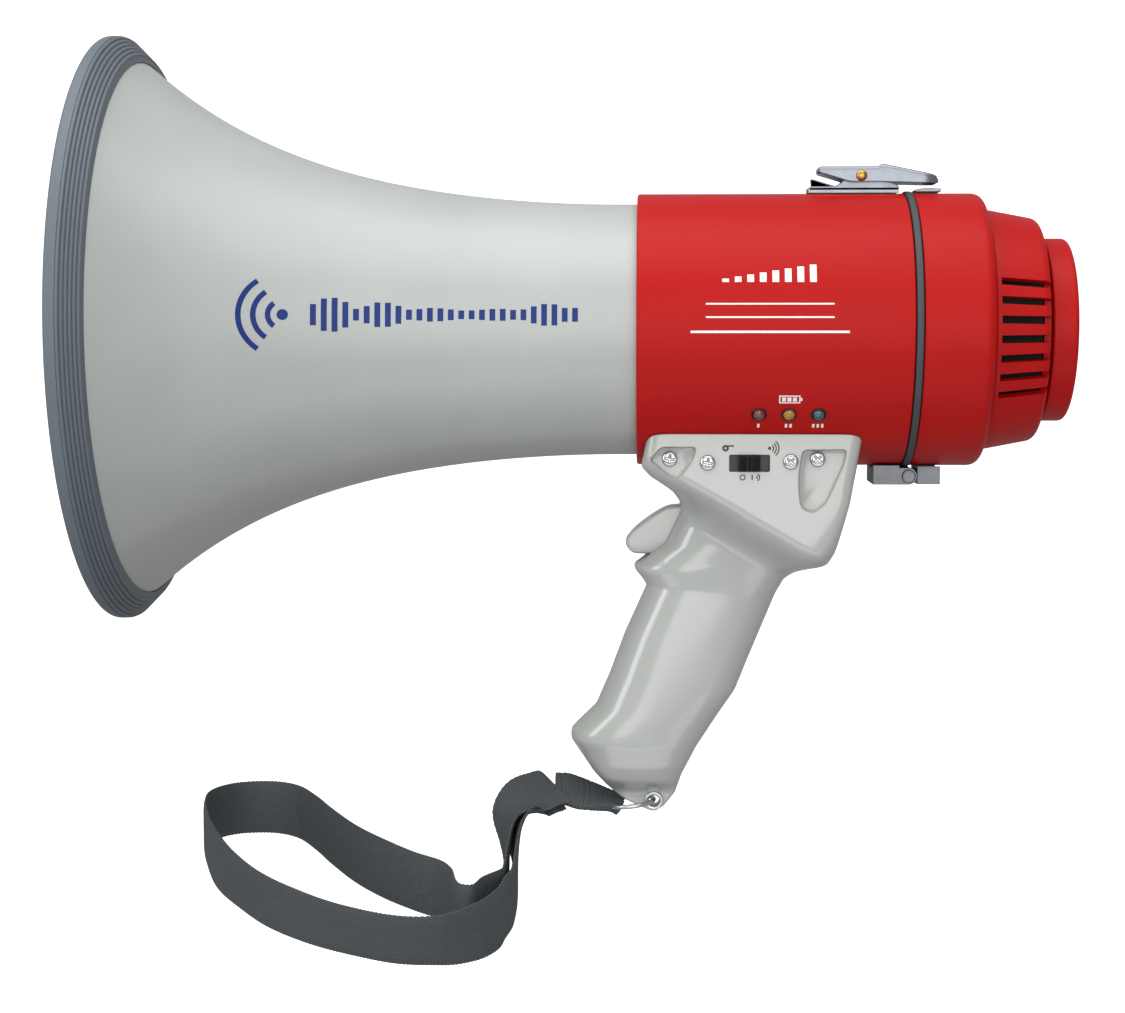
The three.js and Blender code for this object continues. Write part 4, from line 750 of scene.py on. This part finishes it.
GRIP_WIDTH = [
    (-28, 20), (-60, 19), (-80, 17), (-90, 16), (-145, 16), (-153, 14), (-158, 11), (-161, 6),
    (-163, 2.4), (-170.2, 2.2),
]
FRONT_SQUARENESS = [(-28, 18), (-49, 18), (-56, 7), (-62, 3.6), (-80, 2.8), (-150, 2.6), (-163, 3)]
BACK_SQUARENESS = [(-28, 18), (-60, 15), (-74, 8), (-82, 3.6), (-92, 2.8), (-150, 2.6), (-163, 3)]
RIDGE_FROM, RIDGE_TO = np.array([38.0, -51.0]), np.array([86.0, -79.0])
RIDGE_RISE, RIDGE_FALL = 4.0, 11.0
EDGE_EASE, WIDTH_EASE, CORNER_EASE = 1.3, 2.6, 3.0
handle_levels = np.concatenate([
    np.linspace(-28, -46, 16), np.linspace(-46.6, -92, 110), np.linspace(-92.8, -130, 40),
    np.linspace(-130.6, -169.6, 90), [-169.9, -170.1, -170.2],
])


def eased(table, levels, softness):
    """A table of (height, value) read at each level, its corners eased over a short distance."""
    table = np.array(table, float)[::-1]
    shift = np.linspace(-1, 1, 15) * softness
    weight = np.cos(shift / softness * np.pi / 2) ** 2 + 1e-9
    near = np.clip(levels[:, None] + shift, table[0, 0], table[-1, 0])
    return (np.interp(near, table[:, 0], table[:, 1]) * weight).sum(1) / weight.sum()


def grip_body(name, inset, levels, around=152):
    """Super-elliptic sections, |x/a|^n + |y/b|^n = 1, stacked between the front and back edges.
    The flat sides of the flange end on a slanting ridge and fall away to the grip below."""
    front = eased(FRONT_EDGE, levels, EDGE_EASE)[:, None] + inset
    back = eased(BACK_EDGE, levels, EDGE_EASE)[:, None] - inset
    step = np.linspace(-1, 1, around // 4, endpoint=False) + 1 / around
    step = 0.35 * step + 0.65 * np.sin(step * np.pi / 2)
    one = np.ones(len(step))
    u, v = np.concatenate([step, one, -step, -one]), np.concatenate([-one, step, one, -step])
    power = np.where(u > 0, eased(BACK_SQUARENESS, levels, CORNER_EASE)[:, None],
                     eased(FRONT_SQUARENESS, levels, CORNER_EASE)[:, None])
    reach = (np.abs(u) ** power + np.abs(v) ** power) ** (1 / power)
    x = (front + back) / 2 + (back - front) / 2 * u / reach
    ridge = (RIDGE_TO - RIDGE_FROM) / np.linalg.norm(RIDGE_TO - RIDGE_FROM)
    above = ridge[0] * (levels[:, None] - RIDGE_FROM[1]) - ridge[1] * (x - RIDGE_FROM[0])
    rise = np.clip((above + RIDGE_FALL) / (RIDGE_FALL + RIDGE_RISE), 0, 1)
    narrow = eased(GRIP_WIDTH, levels, WIDTH_EASE)[:, None]
    width = narrow + (SADDLE_HALF - narrow) * rise**2 * (3 - 2 * rise) - inset
    up = np.broadcast_to(levels[:, None], x.shape)
    return surface(name, shut(np.stack([x, width * v / reach, up], -1)))


def at_depth(outline, depth):
    """An outline in the side view, (along, up), as points at one depth."""
    return np.stack([outline[:, 0], np.full(len(outline), depth), outline[:, 1]], -1)


def grown(outline, margin):
    """An outline moved out from its middle by a margin."""
    spoke = outline - outline.mean(0)
    return outline.mean(0) + spoke * (1 + margin / np.linalg.norm(spoke, axis=1)[:, None])


def plate(outline, low, high):
    """An outline in the side view carried from one depth to another."""
    return surface("plate", np.stack([at_depth(outline, low), at_depth(outline, high)]), lids=True)


# steps down a pocket's wall: depth below the flange's face, and margin round the outline
POCKET_WALL = [(-8, 0.3), (-0.13, 0.3), (0.12 * POCKET_DEPTH, 0), (0.35 * POCKET_DEPTH, -0.08),
               (0.8 * POCKET_DEPTH, -0.24), (0.93 * POCKET_DEPTH, -0.4), (POCKET_DEPTH, -0.8),
               (POCKET_DEPTH, -0.8)]


def sunk(outline, side):
    """A pocket cutter that opens past the flange's face, with a rounded mouth and walls that
    lean in towards its floor."""
    rows = [at_depth(grown(outline, margin), side * (SADDLE_HALF - depth)) for depth, margin in POCKET_WALL]
    return surface("pocket", np.stack(rows), lids=True)


POCKETS = (
    rounded([(30.5, -43.8), (34.5, -39.3), (46.5, -39.3), (45.5, -43.5), (40.5, -50.3), (37.5, -49.5)],
            [1.5, 1.5, 1.5, 3, 1.5, 2], 7),
    rounded([(82, -40.2), (97, -40), (96.3, -44.5), (90, -58.5), (85.5, -61.8), (81.5, -59.5), (80.6, -50)],
            [2, 1.5, 3, 6, 4, 3, 6], 9),
)
TRIGGER_X, TRIGGER_Z, TRIGGER_HALF, TRIGGER_GAP = 46.5, -64.5, 5.0, 0.3
SADDLE_GAP, CORE_END = 0.3, 180
SLIDE_X, SLIDE_Z, SLOT_LONG, SLOT_HIGH = 64.3, -44.65, 13.6, 5.7
SWITCH_SCREWS = [(50.2, -44.5), (78.1, -44.1)]
BODY_SCREWS = [(37.5, -43.4), (87.3, -43.4)]
PARTING, EYE_HOLE, SCREW_HOLE = 0.15, 2.75, 1.7
HOLLOW_TOP, HOLLOW_FOOT = -46, -150


def switch_slot(margin, radius):
    """The slot's rectangle in the side view, drawn in by a margin."""
    long, high = SLOT_LONG / 2 - margin, SLOT_HIGH / 2 - margin
    corners = ((-1, -1), (1, -1), (1, 1), (-1, 1))
    return rounded([(SLIDE_X + a * long, SLIDE_Z + b * high) for a, b in corners], radius)


def core(radius, count=256):
    """A round cutter on the horn's axis, as long as the housing and its cover."""
    return turned("cutter", [(0, 0), (0, radius), (CORE_END, radius), (CORE_END, 0)], count)


def handle_half(name, side):
    """One moulding: the whole body less the other side, the housing, the hollow and holes."""
    half = grip_body(name, 0.0, handle_levels)
    low, high = sorted((-80 * side, PARTING * side))
    other = slab([-50, low, -250], [200, high, 60])
    hollow_levels = handle_levels[(handle_levels <= HOLLOW_TOP) & (handle_levels >= HOLLOW_FOOT)]
    hollow = cut(grip_body("hollow", HANDLE_WALL, hollow_levels[::2], 64),
                 [core(HOUSING_RADIUS + HANDLE_WALL, 96)])
    for outline in POCKETS:
        cut(hollow, [plate(grown(outline, HANDLE_WALL), -SADDLE_HALF - 1, SADDLE_HALF + 1)])
    mouth = slab([-10, -TRIGGER_HALF - TRIGGER_GAP, TRIGGER_Z - 16.9],
                 [TRIGGER_X + 8, TRIGGER_HALF + TRIGGER_GAP, TRIGGER_Z + 5])
    cutters = [other, core(HOUSING_RADIUS + SADDLE_GAP), hollow, mouth]
    cutters += [sunk(outline, side) for outline in POCKETS]
    cutters.append(dowel([EYE[0], 0, EYE[2]], [0, 1, 0], EYE_HOLE, 20))
    cutters += [dowel([x, side * 30, z], [0, 1, 0], SCREW_HOLE, 40, 24) for x, z in BODY_SCREWS]
    if side < 0:
        cutters += [dowel([x, side * 30, z], [0, 1, 0], SCREW_HOLE, 20, 24) for x, z in SWITCH_SCREWS]
        cutters.append(plate(switch_slot(0, 0.5), -60, -20))
    return cut(half, cutters)


def rounded_edges(material, reach):
    """Eases the look of a moulding's edges by blending normals over a short reach."""
    tree = material.node_tree
    bump = next(node for node in tree.nodes if node.bl_idname == "ShaderNodeBump")
    soft = add(tree, "Bevel", {"samples": 6, "Radius": reach})
    tree.links.new(soft.outputs[0], bump.inputs["Normal"])
    return material


handle_plastic = rounded_edges(
    moulded("moulded_abs_handle_grey", "#a9aca8", 0.17, coat=0.4, grain=0.12, mottle=0.02), 0.0005)
for word, side in (("near", -1), ("far", 1)):
    half = handle_half(f"handle_{word}_moulding", side)
    dress(half, handle_plastic, "housing", "handle_shell", f"handle_{word}_half")

# ---- Trigger, slide switch and screws -----------------------------------------------------------
# The squeeze trigger is a smooth grey moulding on a steel pin; the slide switch has a ribbed black
# knob in a slot. Nickel-plated cross-head screws hold the switch and the two halves.
trigger_outline = rounded([
    (TRIGGER_X + 3, TRIGGER_Z + 3.5), (37.5, TRIGGER_Z + 3.3), (32.6, -63.9), (27.7, -67.5),
    (25.2, -69.6), (22.4, -73.1), (22.4, -75.3), (24.6, -78.1), (36, -78.6), (TRIGGER_X + 3, TRIGGER_Z - 5),
], [2, 4, 3, 3, 2, 1.6, 1.6, 2, 3, 1], 9)


def pillow(name, outline, low, high, ease, steps=7):
    """An outline in the side view carried through a depth, its two edges rolled over."""
    turn = np.roll(outline, -1, 0) - np.roll(outline, 1, 0)
    inward = np.stack([-turn[:, 1], turn[:, 0]], -1)
    inward /= np.linalg.norm(inward, axis=1)[:, None] + 1e-9
    following = np.roll(outline, -1, 0)
    if (outline[:, 0] * following[:, 1] - outline[:, 1] * following[:, 0]).sum() < 0:
        inward = -inward
    roll = np.linspace(0, np.pi / 2, steps)
    depth = np.concatenate([low + ease * (1 - np.cos(roll)), high - ease * (1 - np.cos(roll[::-1]))])
    inset = np.concatenate([ease * (1 - np.sin(roll)), ease * (1 - np.sin(roll[::-1]))])
    rows = [at_depth(outline + inward * shift, d) for d, shift in zip(depth, inset)]
    return surface(name, np.stack(rows), lids=True)


trigger = pillow("trigger_moulding", trigger_outline, -TRIGGER_HALF, TRIGGER_HALF, 1.4)
cut(trigger, [dowel([TRIGGER_X, 0, TRIGGER_Z], [0, 1, 0], 1.65, 20, 32)])
dress(trigger, handle_plastic, "trigger", "handle_shell", "trigger")

# the switch knob: a rounded block with eight fine ridges across its face
KNOB_LONG, KNOB_HIGH, KNOB_OUT, KNOB_FOOT, RIDGES = 7.1, 5.1, 2.4, 29.9, 9
ridge = np.linspace(-1, 1, 97)
face_out = SADDLE_HALF + KNOB_OUT - 0.275 * (1 + np.cos(RIDGES * np.pi * ridge)) - 0.5 * np.abs(ridge) ** 9
face_out = face_out - 0.5 * (1 - np.abs(ridge)) ** 2
slider_rows = []
for drop, inset in ((-1.0, 0.3), (-0.9, 0.0), (0.9, 0.0), (1.0, 0.3)):
    up = np.full(len(ridge), SLIDE_Z + drop * KNOB_HIGH / 2)
    top = np.stack([SLIDE_X + ridge * KNOB_LONG / 2, inset - face_out, up], -1)
    low = top.copy()
    low[:, 1] = -KNOB_FOOT
    slider_rows.append(np.concatenate([top, low[::-1]]))
slider = surface("slide_switch_knob_ribbed", shut(np.stack(slider_rows)))
dress(slider, dark_plastic, "slide_knob", "black_plastic", "slide_switch_knob")
# a thin black shutter fills the slot behind the knob
shutter = plate(switch_slot(0.1, 0.4), -29.8, -23.4)
shutter.name = "slide_switch_frame"
dress(shutter, dark_plastic, "housing", "black_plastic", "slide_switch_body")

SCREW_RADIUS = 2.65
screw_steel = plated("nickel_plated_screw", "#c3c5c6", 0.2, (300, 300, 300))


def screw(name, x, z, seat_y, side, spin, shank, node):
    """A pan head with a cross recess: the recess is a smooth dip along two crossing lines."""
    rings_out = np.concatenate([np.linspace(0.02, 0.8, 22), np.linspace(0.84, 1, 8)])
    angle = np.linspace(0, 2 * np.pi, 72, endpoint=False)
    u, v = rings_out[:, None] * np.cos(angle), rings_out[:, None] * np.sin(angle)
    across_arm = np.minimum(np.abs(u), np.abs(v))
    along_arm = np.maximum(np.abs(u), np.abs(v))
    recess = 0.95 / (1 + np.exp((across_arm - 0.13) / 0.02)) / (1 + np.exp((along_arm - 0.62) / 0.03))
    head_dome = 0.35 + 0.95 * np.sqrt(np.clip(1 - rings_out[:, None] ** 3.2, 0, 1))
    height = head_dome - recess * (1 - 0.5 * along_arm)
    dome_points = np.stack([u * SCREW_RADIUS, height, v * SCREW_RADIUS], -1)
    turn = np.array([[np.cos(spin), -np.sin(spin)], [np.sin(spin), np.cos(spin)]])
    under = []
    for radius, level in ((1.0, 0.3), (0.96, 0.0), (0.5, 0.0), (0.5, -shank), (0.0, -shank - 0.4)):
        under.append(np.stack([radius * SCREW_RADIUS * np.cos(angle), np.full(72, level),
                               radius * SCREW_RADIUS * np.sin(angle)], -1))
    points = np.concatenate([dome_points[:1] * [0, 1, 0], dome_points, np.stack(under)])
    flat_part = points[..., [0, 2]].dot(turn.T)
    placed = np.stack([x + flat_part[..., 0], side * (seat_y + points[..., 1]), z + flat_part[..., 1]], -1)
    dress(surface(name, placed), screw_steel, "housing", "screw_steel", node)


for k, (x, z) in enumerate(SWITCH_SCREWS, 1):
    screw(f"switch_screw_head_{k}", x, z, SADDLE_HALF + 0.1, -1, 0.4 + k, 3.5, f"switch_screw_{k}")
for k, (x, z) in enumerate(BODY_SCREWS, 1):
    for word, side in (("near", -1), ("far", 1)):
        screw(f"body_screw_head_{word}_{k}", x, z, SADDLE_HALF - POCKET_DEPTH + 0.1, side, 0.9 * k + side,
              6.5, f"handle_screw_{word}_{k}")

# ---- Latch and hinge ----------------------------------------------------------------------------
# A stamped steel over-centre latch: a bracket spot-welded to the housing, a channel-shaped lever
# on a brass rivet, a strip spring and a catch. The hinge below is folded from the same sheet.
RIVET_X, RIVET_Z, RIVET_HOLE, LATCH_HALF = 103.0, 52.8, 1.05, 8.0
latch_steel = rounded_edges(plated("nickel_plated_sheet", "#868a91", 0.34), 0.0004)


def folded(name, outline, half, ease, body, node):
    """A strip with this side outline, its edges rolled by the press."""
    dress(pillow(name, outline, -half, half, ease, 4), latch_steel, body, "plated_steel", node)


cheek_outline = rounded([
    (RIVET_X - 17.8, 47.8), (RIVET_X + 13, 47.8), (RIVET_X + 13, 49.4), (RIVET_X + 4.4, RIVET_Z + 1.3),
    (RIVET_X - 3.4, RIVET_Z + 1.3), (RIVET_X - 8, 49.4), (RIVET_X - 17.8, 49.2),
], [0.4, 0.4, 1.2, 2, 2, 2, 0.4], 6)
BASE_TOP, BASE_SEAT = 48.75, 47.32
y = np.linspace(2 - LATCH_HALF, LATCH_HALF - 2, 25)
base_rows = []
for x in (RIVET_X - 18, RIVET_X + 13):
    top = np.stack(np.broadcast_arrays(x, y, BASE_TOP), -1)
    under = np.stack(np.broadcast_arrays(x, y, np.sqrt(BASE_SEAT**2 - y**2)), -1)[::-1]
    base_rows.append(np.concatenate([top, under]))
base_plate = surface("latch_bracket_base", shut(np.stack(base_rows)))
dress(base_plate, latch_steel, "housing", "plated_steel", "latch_bracket")
for word, low, high in (("near", -6.0, -4.8), ("far", 4.8, 6.0)):
    cheek = pillow("latch_bracket_cheek_" + word, cheek_outline, low, high, 0.25, 4)
    cut(cheek, [dowel([RIVET_X, 0, RIVET_Z], [0, 1, 0], RIVET_HOLE, 30, 24)])
    dress(cheek, latch_steel, "housing", "plated_steel")

LEVER_TOP = [(-14.4, 3.0), (-13.6, 3.2), (4.6, 3.2), (5.6, 3.3), (7.2, 4.0), (8.4, 3.9),
             (24.4, 0.6), (25.8, 0.1), (26.5, -1.2)]
LEVER_FOOT = [(-14.4, 1.5), (-13.9, 1.1), (-4.4, -1.8), (-3.4, -1.95), (4, -1.95),
              (26.0, -2.55), (26.5, -2.3)]
SHEET, EDGE_ROLL = 1.1, 1.3
at_x = np.concatenate([[-14.4, -14.2], np.linspace(-13.9, 26.2, 110), [26.4, 26.5]])
lever_top = RIVET_Z + np.interp(at_x, *np.array(LEVER_TOP).T)
lever_foot = RIVET_Z + np.interp(at_x, *np.array(LEVER_FOOT).T)
tip = np.clip((at_x - 20.5) / 6.0, 0, 1)
lever_half = LATCH_HALF - 2.6 * tip**2.4
bend = np.linspace(0, np.pi / 2, 8)
lever_rows = []
for x, top, foot, half in zip(at_x, lever_top, lever_foot, lever_half):
    roll = min(EDGE_ROLL, 0.7 * (top - foot))
    right = [(half, foot)] + [(half - roll * (1 - np.cos(a)), top - roll * (1 - np.sin(a))) for a in bend]
    left = [(-y, z) for y, z in right[::-1]]
    inside, clear = max(top - SHEET, foot + 0.02), half - SHEET
    wall = inside - 0.15 * (inside - foot)
    under = [(-clear, foot), (-clear, wall), (0.4 - clear, inside),
             (clear - 0.4, inside), (clear, wall), (clear, foot)]
    lever_rows.append([(RIVET_X + x, y, z) for y, z in right + left + under])
lever = surface("latch_lever_channel", np.array(lever_rows), lids=True)
cut(lever, [dowel([RIVET_X, 0, RIVET_Z], [0, 1, 0], RIVET_HOLE, 30, 24)])
dress(lever, latch_steel, "latch_lever", "plated_steel", "latch_lever")

brass = plated("turned_brass", "#b98f4b", 0.28, (200, 200, 200))
head = np.linspace(0, np.pi / 2, 9)
one_end = np.concatenate([
    np.stack([LATCH_HALF + 0.15 + np.cos(head), 1.9 * np.sin(head)], -1),
    [[LATCH_HALF + 0.12, 1.85], [LATCH_HALF + 0.12, 0.85]],
])
rivet_profile = np.concatenate([one_end * [-1, 1], one_end[::-1]])
rivet = turned("latch_rivet_domed", rivet_profile, 48, "y", (RIVET_X, 0, RIVET_Z))
dress(rivet, brass, "housing", "rivet_brass", "latch_rivet")

spring_outline = rounded([
    (RIVET_X - 16.6, 49.0), (RIVET_X - 9.2, 49.0), (RIVET_X - 8.8, 49.6), (RIVET_X - 16.2, RIVET_Z - 0.9),
    (RIVET_X - 16.9, RIVET_Z - 0.8), (RIVET_X - 16.9, RIVET_Z - 1.3), (RIVET_X - 10.4, 49.55),
    (RIVET_X - 16.6, 49.5),
], 0.25, 4)
folded("latch_spring_strip", spring_outline, 3, 0.15, "housing", "latch_spring")
catch_outline = rounded([
    (COVER_FRONT + 1, 47.35), (COVER_FRONT + 10, 47.35), (COVER_FRONT + 10, 48.6), (COVER_FRONT + 4, 48.6),
    (COVER_FRONT + 1, 48.1),
], 0.3, 4)
folded("latch_catch_strip", catch_outline, 5, 0.2, "rear_cover", "latch_catch")

PIN_X, PIN_Z, HINGE_HALF, EAR_RADIUS = 120.0, -50.3, 11.0, 2.9
KNUCKLE_HALF, KNUCKLE_RADIUS, PIN_BORE, LEAF_GAP = 5.7, 2.45, 1.35, 0.8
hinge_steel = rounded_edges(plated("nickel_plated_hinge", "#737478", 0.45), 0.0004)


def hinge_leaf(name, knuckles, span, half, body, node):
    """A thick leaf under the shell, trimmed to its curve, with knuckles rolled round the pin.
    span is its range along the shell, and the knuckles are ranges across it."""
    leaf = slab([span[0], -half, PIN_Z - EAR_RADIUS], [span[1], half, PIN_Z + 5])
    leaf.name = name
    near = min(span, key=lambda x: abs(x - PIN_X))
    radius, depth = (EAR_RADIUS, EAR_RADIUS) if near < PIN_X else (KNUCKLE_RADIUS, PIN_BORE)
    parts = []
    for low, high in knuckles:
        parts.append(turned("cutter", [(low, 0), (low, radius), (high, radius), (high, 0)], 48, "y",
                            (PIN_X, 0, PIN_Z)))
        arm = sorted((PIN_X, near + np.sign(near - PIN_X)))
        parts.append(slab([arm[0], low, PIN_Z - depth], [arm[1], high, PIN_Z + depth]))
    cut(leaf, parts, "UNION")
    cut(leaf, [dowel([PIN_X, 0, PIN_Z], [0, 1, 0], PIN_BORE, 60, 32), core(HOUSING_RADIUS + LEAF_GAP)])
    dress(leaf, hinge_steel, body, "plated_steel", node)


hinge_leaf("hinge_front_leaf_folded", [(-HINGE_HALF, -6), (6, HINGE_HALF)], (PIN_X - 12.2, PIN_X - 3.2),
           HINGE_HALF, "housing", "hinge_front_leaf")
hinge_leaf("hinge_rear_leaf_folded", [(-KNUCKLE_HALF, KNUCKLE_HALF)], (PIN_X + 3.2, PIN_X + 11),
           HINGE_HALF - 2, "rear_cover", "hinge_rear_leaf")
pin_end = np.array([(12.1, 0), (12.1, 2.0), (11.9, 2.3), (11.3, 2.3), (11.3, 1.2)])
pin_profile = np.concatenate([pin_end * [-1, 1], pin_end[::-1]])
hinge_pin = turned("hinge_pin_headed", pin_profile, 40, "y", (PIN_X, 0, PIN_Z))
dress(hinge_pin, hinge_steel, "housing", "plated_steel", "hinge_pin")

# ---- Printed marks ------------------------------------------------------------------------------
# Pad-printed graphics in one colour each, laid a few hundredths of a millimetre proud: a blue
# sound wave on the horn, white level bars on the red housing and dark signs by the switch.


INK_TOP, INK_UNDER = 0.045, -0.05


def printed(name, grids, wrap, material, slot_name):
    """Thin closed patches. Each grid holds (along, up) pairs, and wrap turns them and a
    height above the surface into points."""
    pieces = []
    for grid in grids:
        rows = np.concatenate([wrap(grid, INK_TOP), wrap(grid, INK_UNDER)[:, ::-1]], axis=1)
        pieces.append(surface(name, shut(rows)))
    whole = bmesh.new()
    for piece in pieces:
        whole.from_mesh(piece.data)
    whole.to_mesh(pieces[0].data)
    whole.free()
    for piece in pieces[1:]:
        bpy.data.objects.remove(piece)
    dress(pieces[0], material, "housing", slot_name)


def round_wrap(radius_at):
    """Wraps (along, arc length up) round the near side of a turned surface."""
    def wrap(grid, rise):
        radius = radius_at(grid[..., 0])
        angle = grid[..., 1] / radius
        reach = radius + rise
        return np.stack([grid[..., 0], -reach * np.cos(angle), reach * np.sin(angle)], -1)
    return wrap


def bar(x, up, wide, high, steps=(5, 9)):
    """A rectangle, as a grid of (along, up)."""
    share_x, share_up = (np.linspace(-0.5, 0.5, count) for count in steps)
    return np.stack(np.broadcast_arrays(x + share_x[:, None] * wide, up + share_up * high), -1)


def arc(x, up, radius, wide, start, end, steps=28):
    """Part of a ring between two angles in degrees, as a grid of (along, up)."""
    angle = np.radians(np.linspace(start, end, steps))[:, None]
    reach = radius + np.array([-0.5, 0, 0.5]) * wide
    return np.stack([x + reach * np.cos(angle), up + reach * np.sin(angle)], -1)


blue_paint = moulded("pad_printed_blue", "#142c70", 0.42, grain=0.15, specular=0.2)
black_paint = moulded("pad_printed_black", "#2b2c2d", 0.5, grain=0.15)
WAVE_START, WAVE_UP = -88.5, 5.0
wave = [arc(WAVE_START, WAVE_UP, reach, 1.7, 125, 235) for reach in (4.5, 9.0, 13.5)]
wave.append(arc(WAVE_START, WAVE_UP, 0.9, 1.75, 0, 360, 24))
for k, x in enumerate(np.arange(-79.0, 9.0, 3.4)):
    swell = np.abs(np.sin(0.62 * k + 0.5)) * (0.55 + 0.45 * np.cos(0.21 * k))
    wave.append(bar(x, WAVE_UP, 1.9, 2.6 + 9.0 * swell))
printed("horn_sound_wave_print", wave, round_wrap(bell_radius), blue_paint, "horn")

on_housing = round_wrap(lambda x: np.full_like(x, HOUSING_RADIUS))
signs = [bar(55.5 + 4.1 * k, 16.6 + 0.36 * k, 2.2, 1.2 + 0.72 * k) for k in range(8)]
signs += [bar(70, 8.6, 42, 0.55, (28, 3)), bar(70, 4.2, 42, 0.55, (28, 3)), bar(70, -0.6, 52, 0.8, (34, 3))]
lamp_up = -LAMP_ANGLE * HOUSING_RADIUS
sign_up = lamp_up + 6.1
BATTERY_SIGN = [  # along, up, wide, high
    (0, 1.3, 7, 0.4), (0, -1.3, 7, 0.4), (-3.3, 0, 0.4, 2.6), (3.3, 0, 0.4, 2.6),
    (3.85, 0, 0.6, 1.1), (-1.9, 0, 1.3, 1.6), (-0.1, 0, 1.3, 1.6), (1.7, 0, 1.3, 1.6),
]
signs += [bar(LAMP_X[1] + x, sign_up + up, wide, high) for x, up, wide, high in BATTERY_SIGN]
for k, x in enumerate(LAMP_X):
    signs += [bar(x + 1.5 * (j - k / 2), lamp_up - 5.0, 0.8, 1.7) for j in range(k + 1)]
printed("housing_level_print", signs, on_housing, white_paint, "red_shell")


def flat_wrap(grid, rise):
    """Lays (along, up) on the flat face round the switch."""
    return np.stack(np.broadcast_arrays(grid[..., 0], -(SADDLE_HALF + rise * 0.6), grid[..., 1]), -1)


TOP_UP, LOW_UP = -39.6, -49.4
WHISTLE_X, WAVES_X, OFF_X, TALK_X = 56.2, 71.0, 62.0, 66.4
switch_signs = [arc(WHISTLE_X, TOP_UP, 0.75, 0.75, 0, 360, 20),
                bar(WHISTLE_X + 1.7, TOP_UP + 0.75, 2.4, 0.55, (3, 3)),
                arc(WAVES_X, TOP_UP, 0.3, 0.55, 0, 360, 16)]
switch_signs += [arc(WAVES_X, TOP_UP, reach, 0.42, -50, 50, 12) for reach in (1.3, 2.2, 3.1)]
switch_signs += [arc(OFF_X, LOW_UP, 0.85, 0.4, 0, 360, 20), bar(TALK_X - 1.2, LOW_UP, 0.45, 1.8, (3, 3))]
switch_signs += [arc(TALK_X, LOW_UP, reach, 0.42, -60, 60, 10) for reach in (0.5, 1.3)]
printed("switch_signs_print", switch_signs, flat_wrap, black_paint, "handle_shell")

# ---- Driver, board and cells ----------------------------------------------------------------------
# The parts inside keep their CAD shapes and take real finishes: phenolic film, ferrite, glass
# epoxy with a green mask, sleeved cells and plated steel, all hidden when the cover is shut.
film = moulded("pressed_phenolic_film", "#8a6a38", 0.4, grain=0.5, mottle=0.15)
ferrite = plated("ground_ferrite", "#45474b", 0.55)
mask = moulded("glass_epoxy_board", "#1f5a33", 0.35, grain=0.4, mottle=0.2)
sleeve = moulded("printed_cell_sleeve", "#8a6f3a", 0.35, coat=0.3)
for names, material in (
    (("cup_spider",), horn_plastic), (("driver_frame", "battery_tray", "trigger_switch"), dark_plastic),
    (("driver_diaphragm",), film), (("driver_magnet",), ferrite), (("amplifier_board",), mask),
    (tuple(f"battery_cell_{k}" for k in range(1, 9)), sleeve),
    (("trigger_pin", "trigger_spring", "mic_capsule", "volume_pot"), steel),
):
    for name in names:
        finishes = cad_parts[name].data.materials
        finishes.clear()
        finishes.append(material)
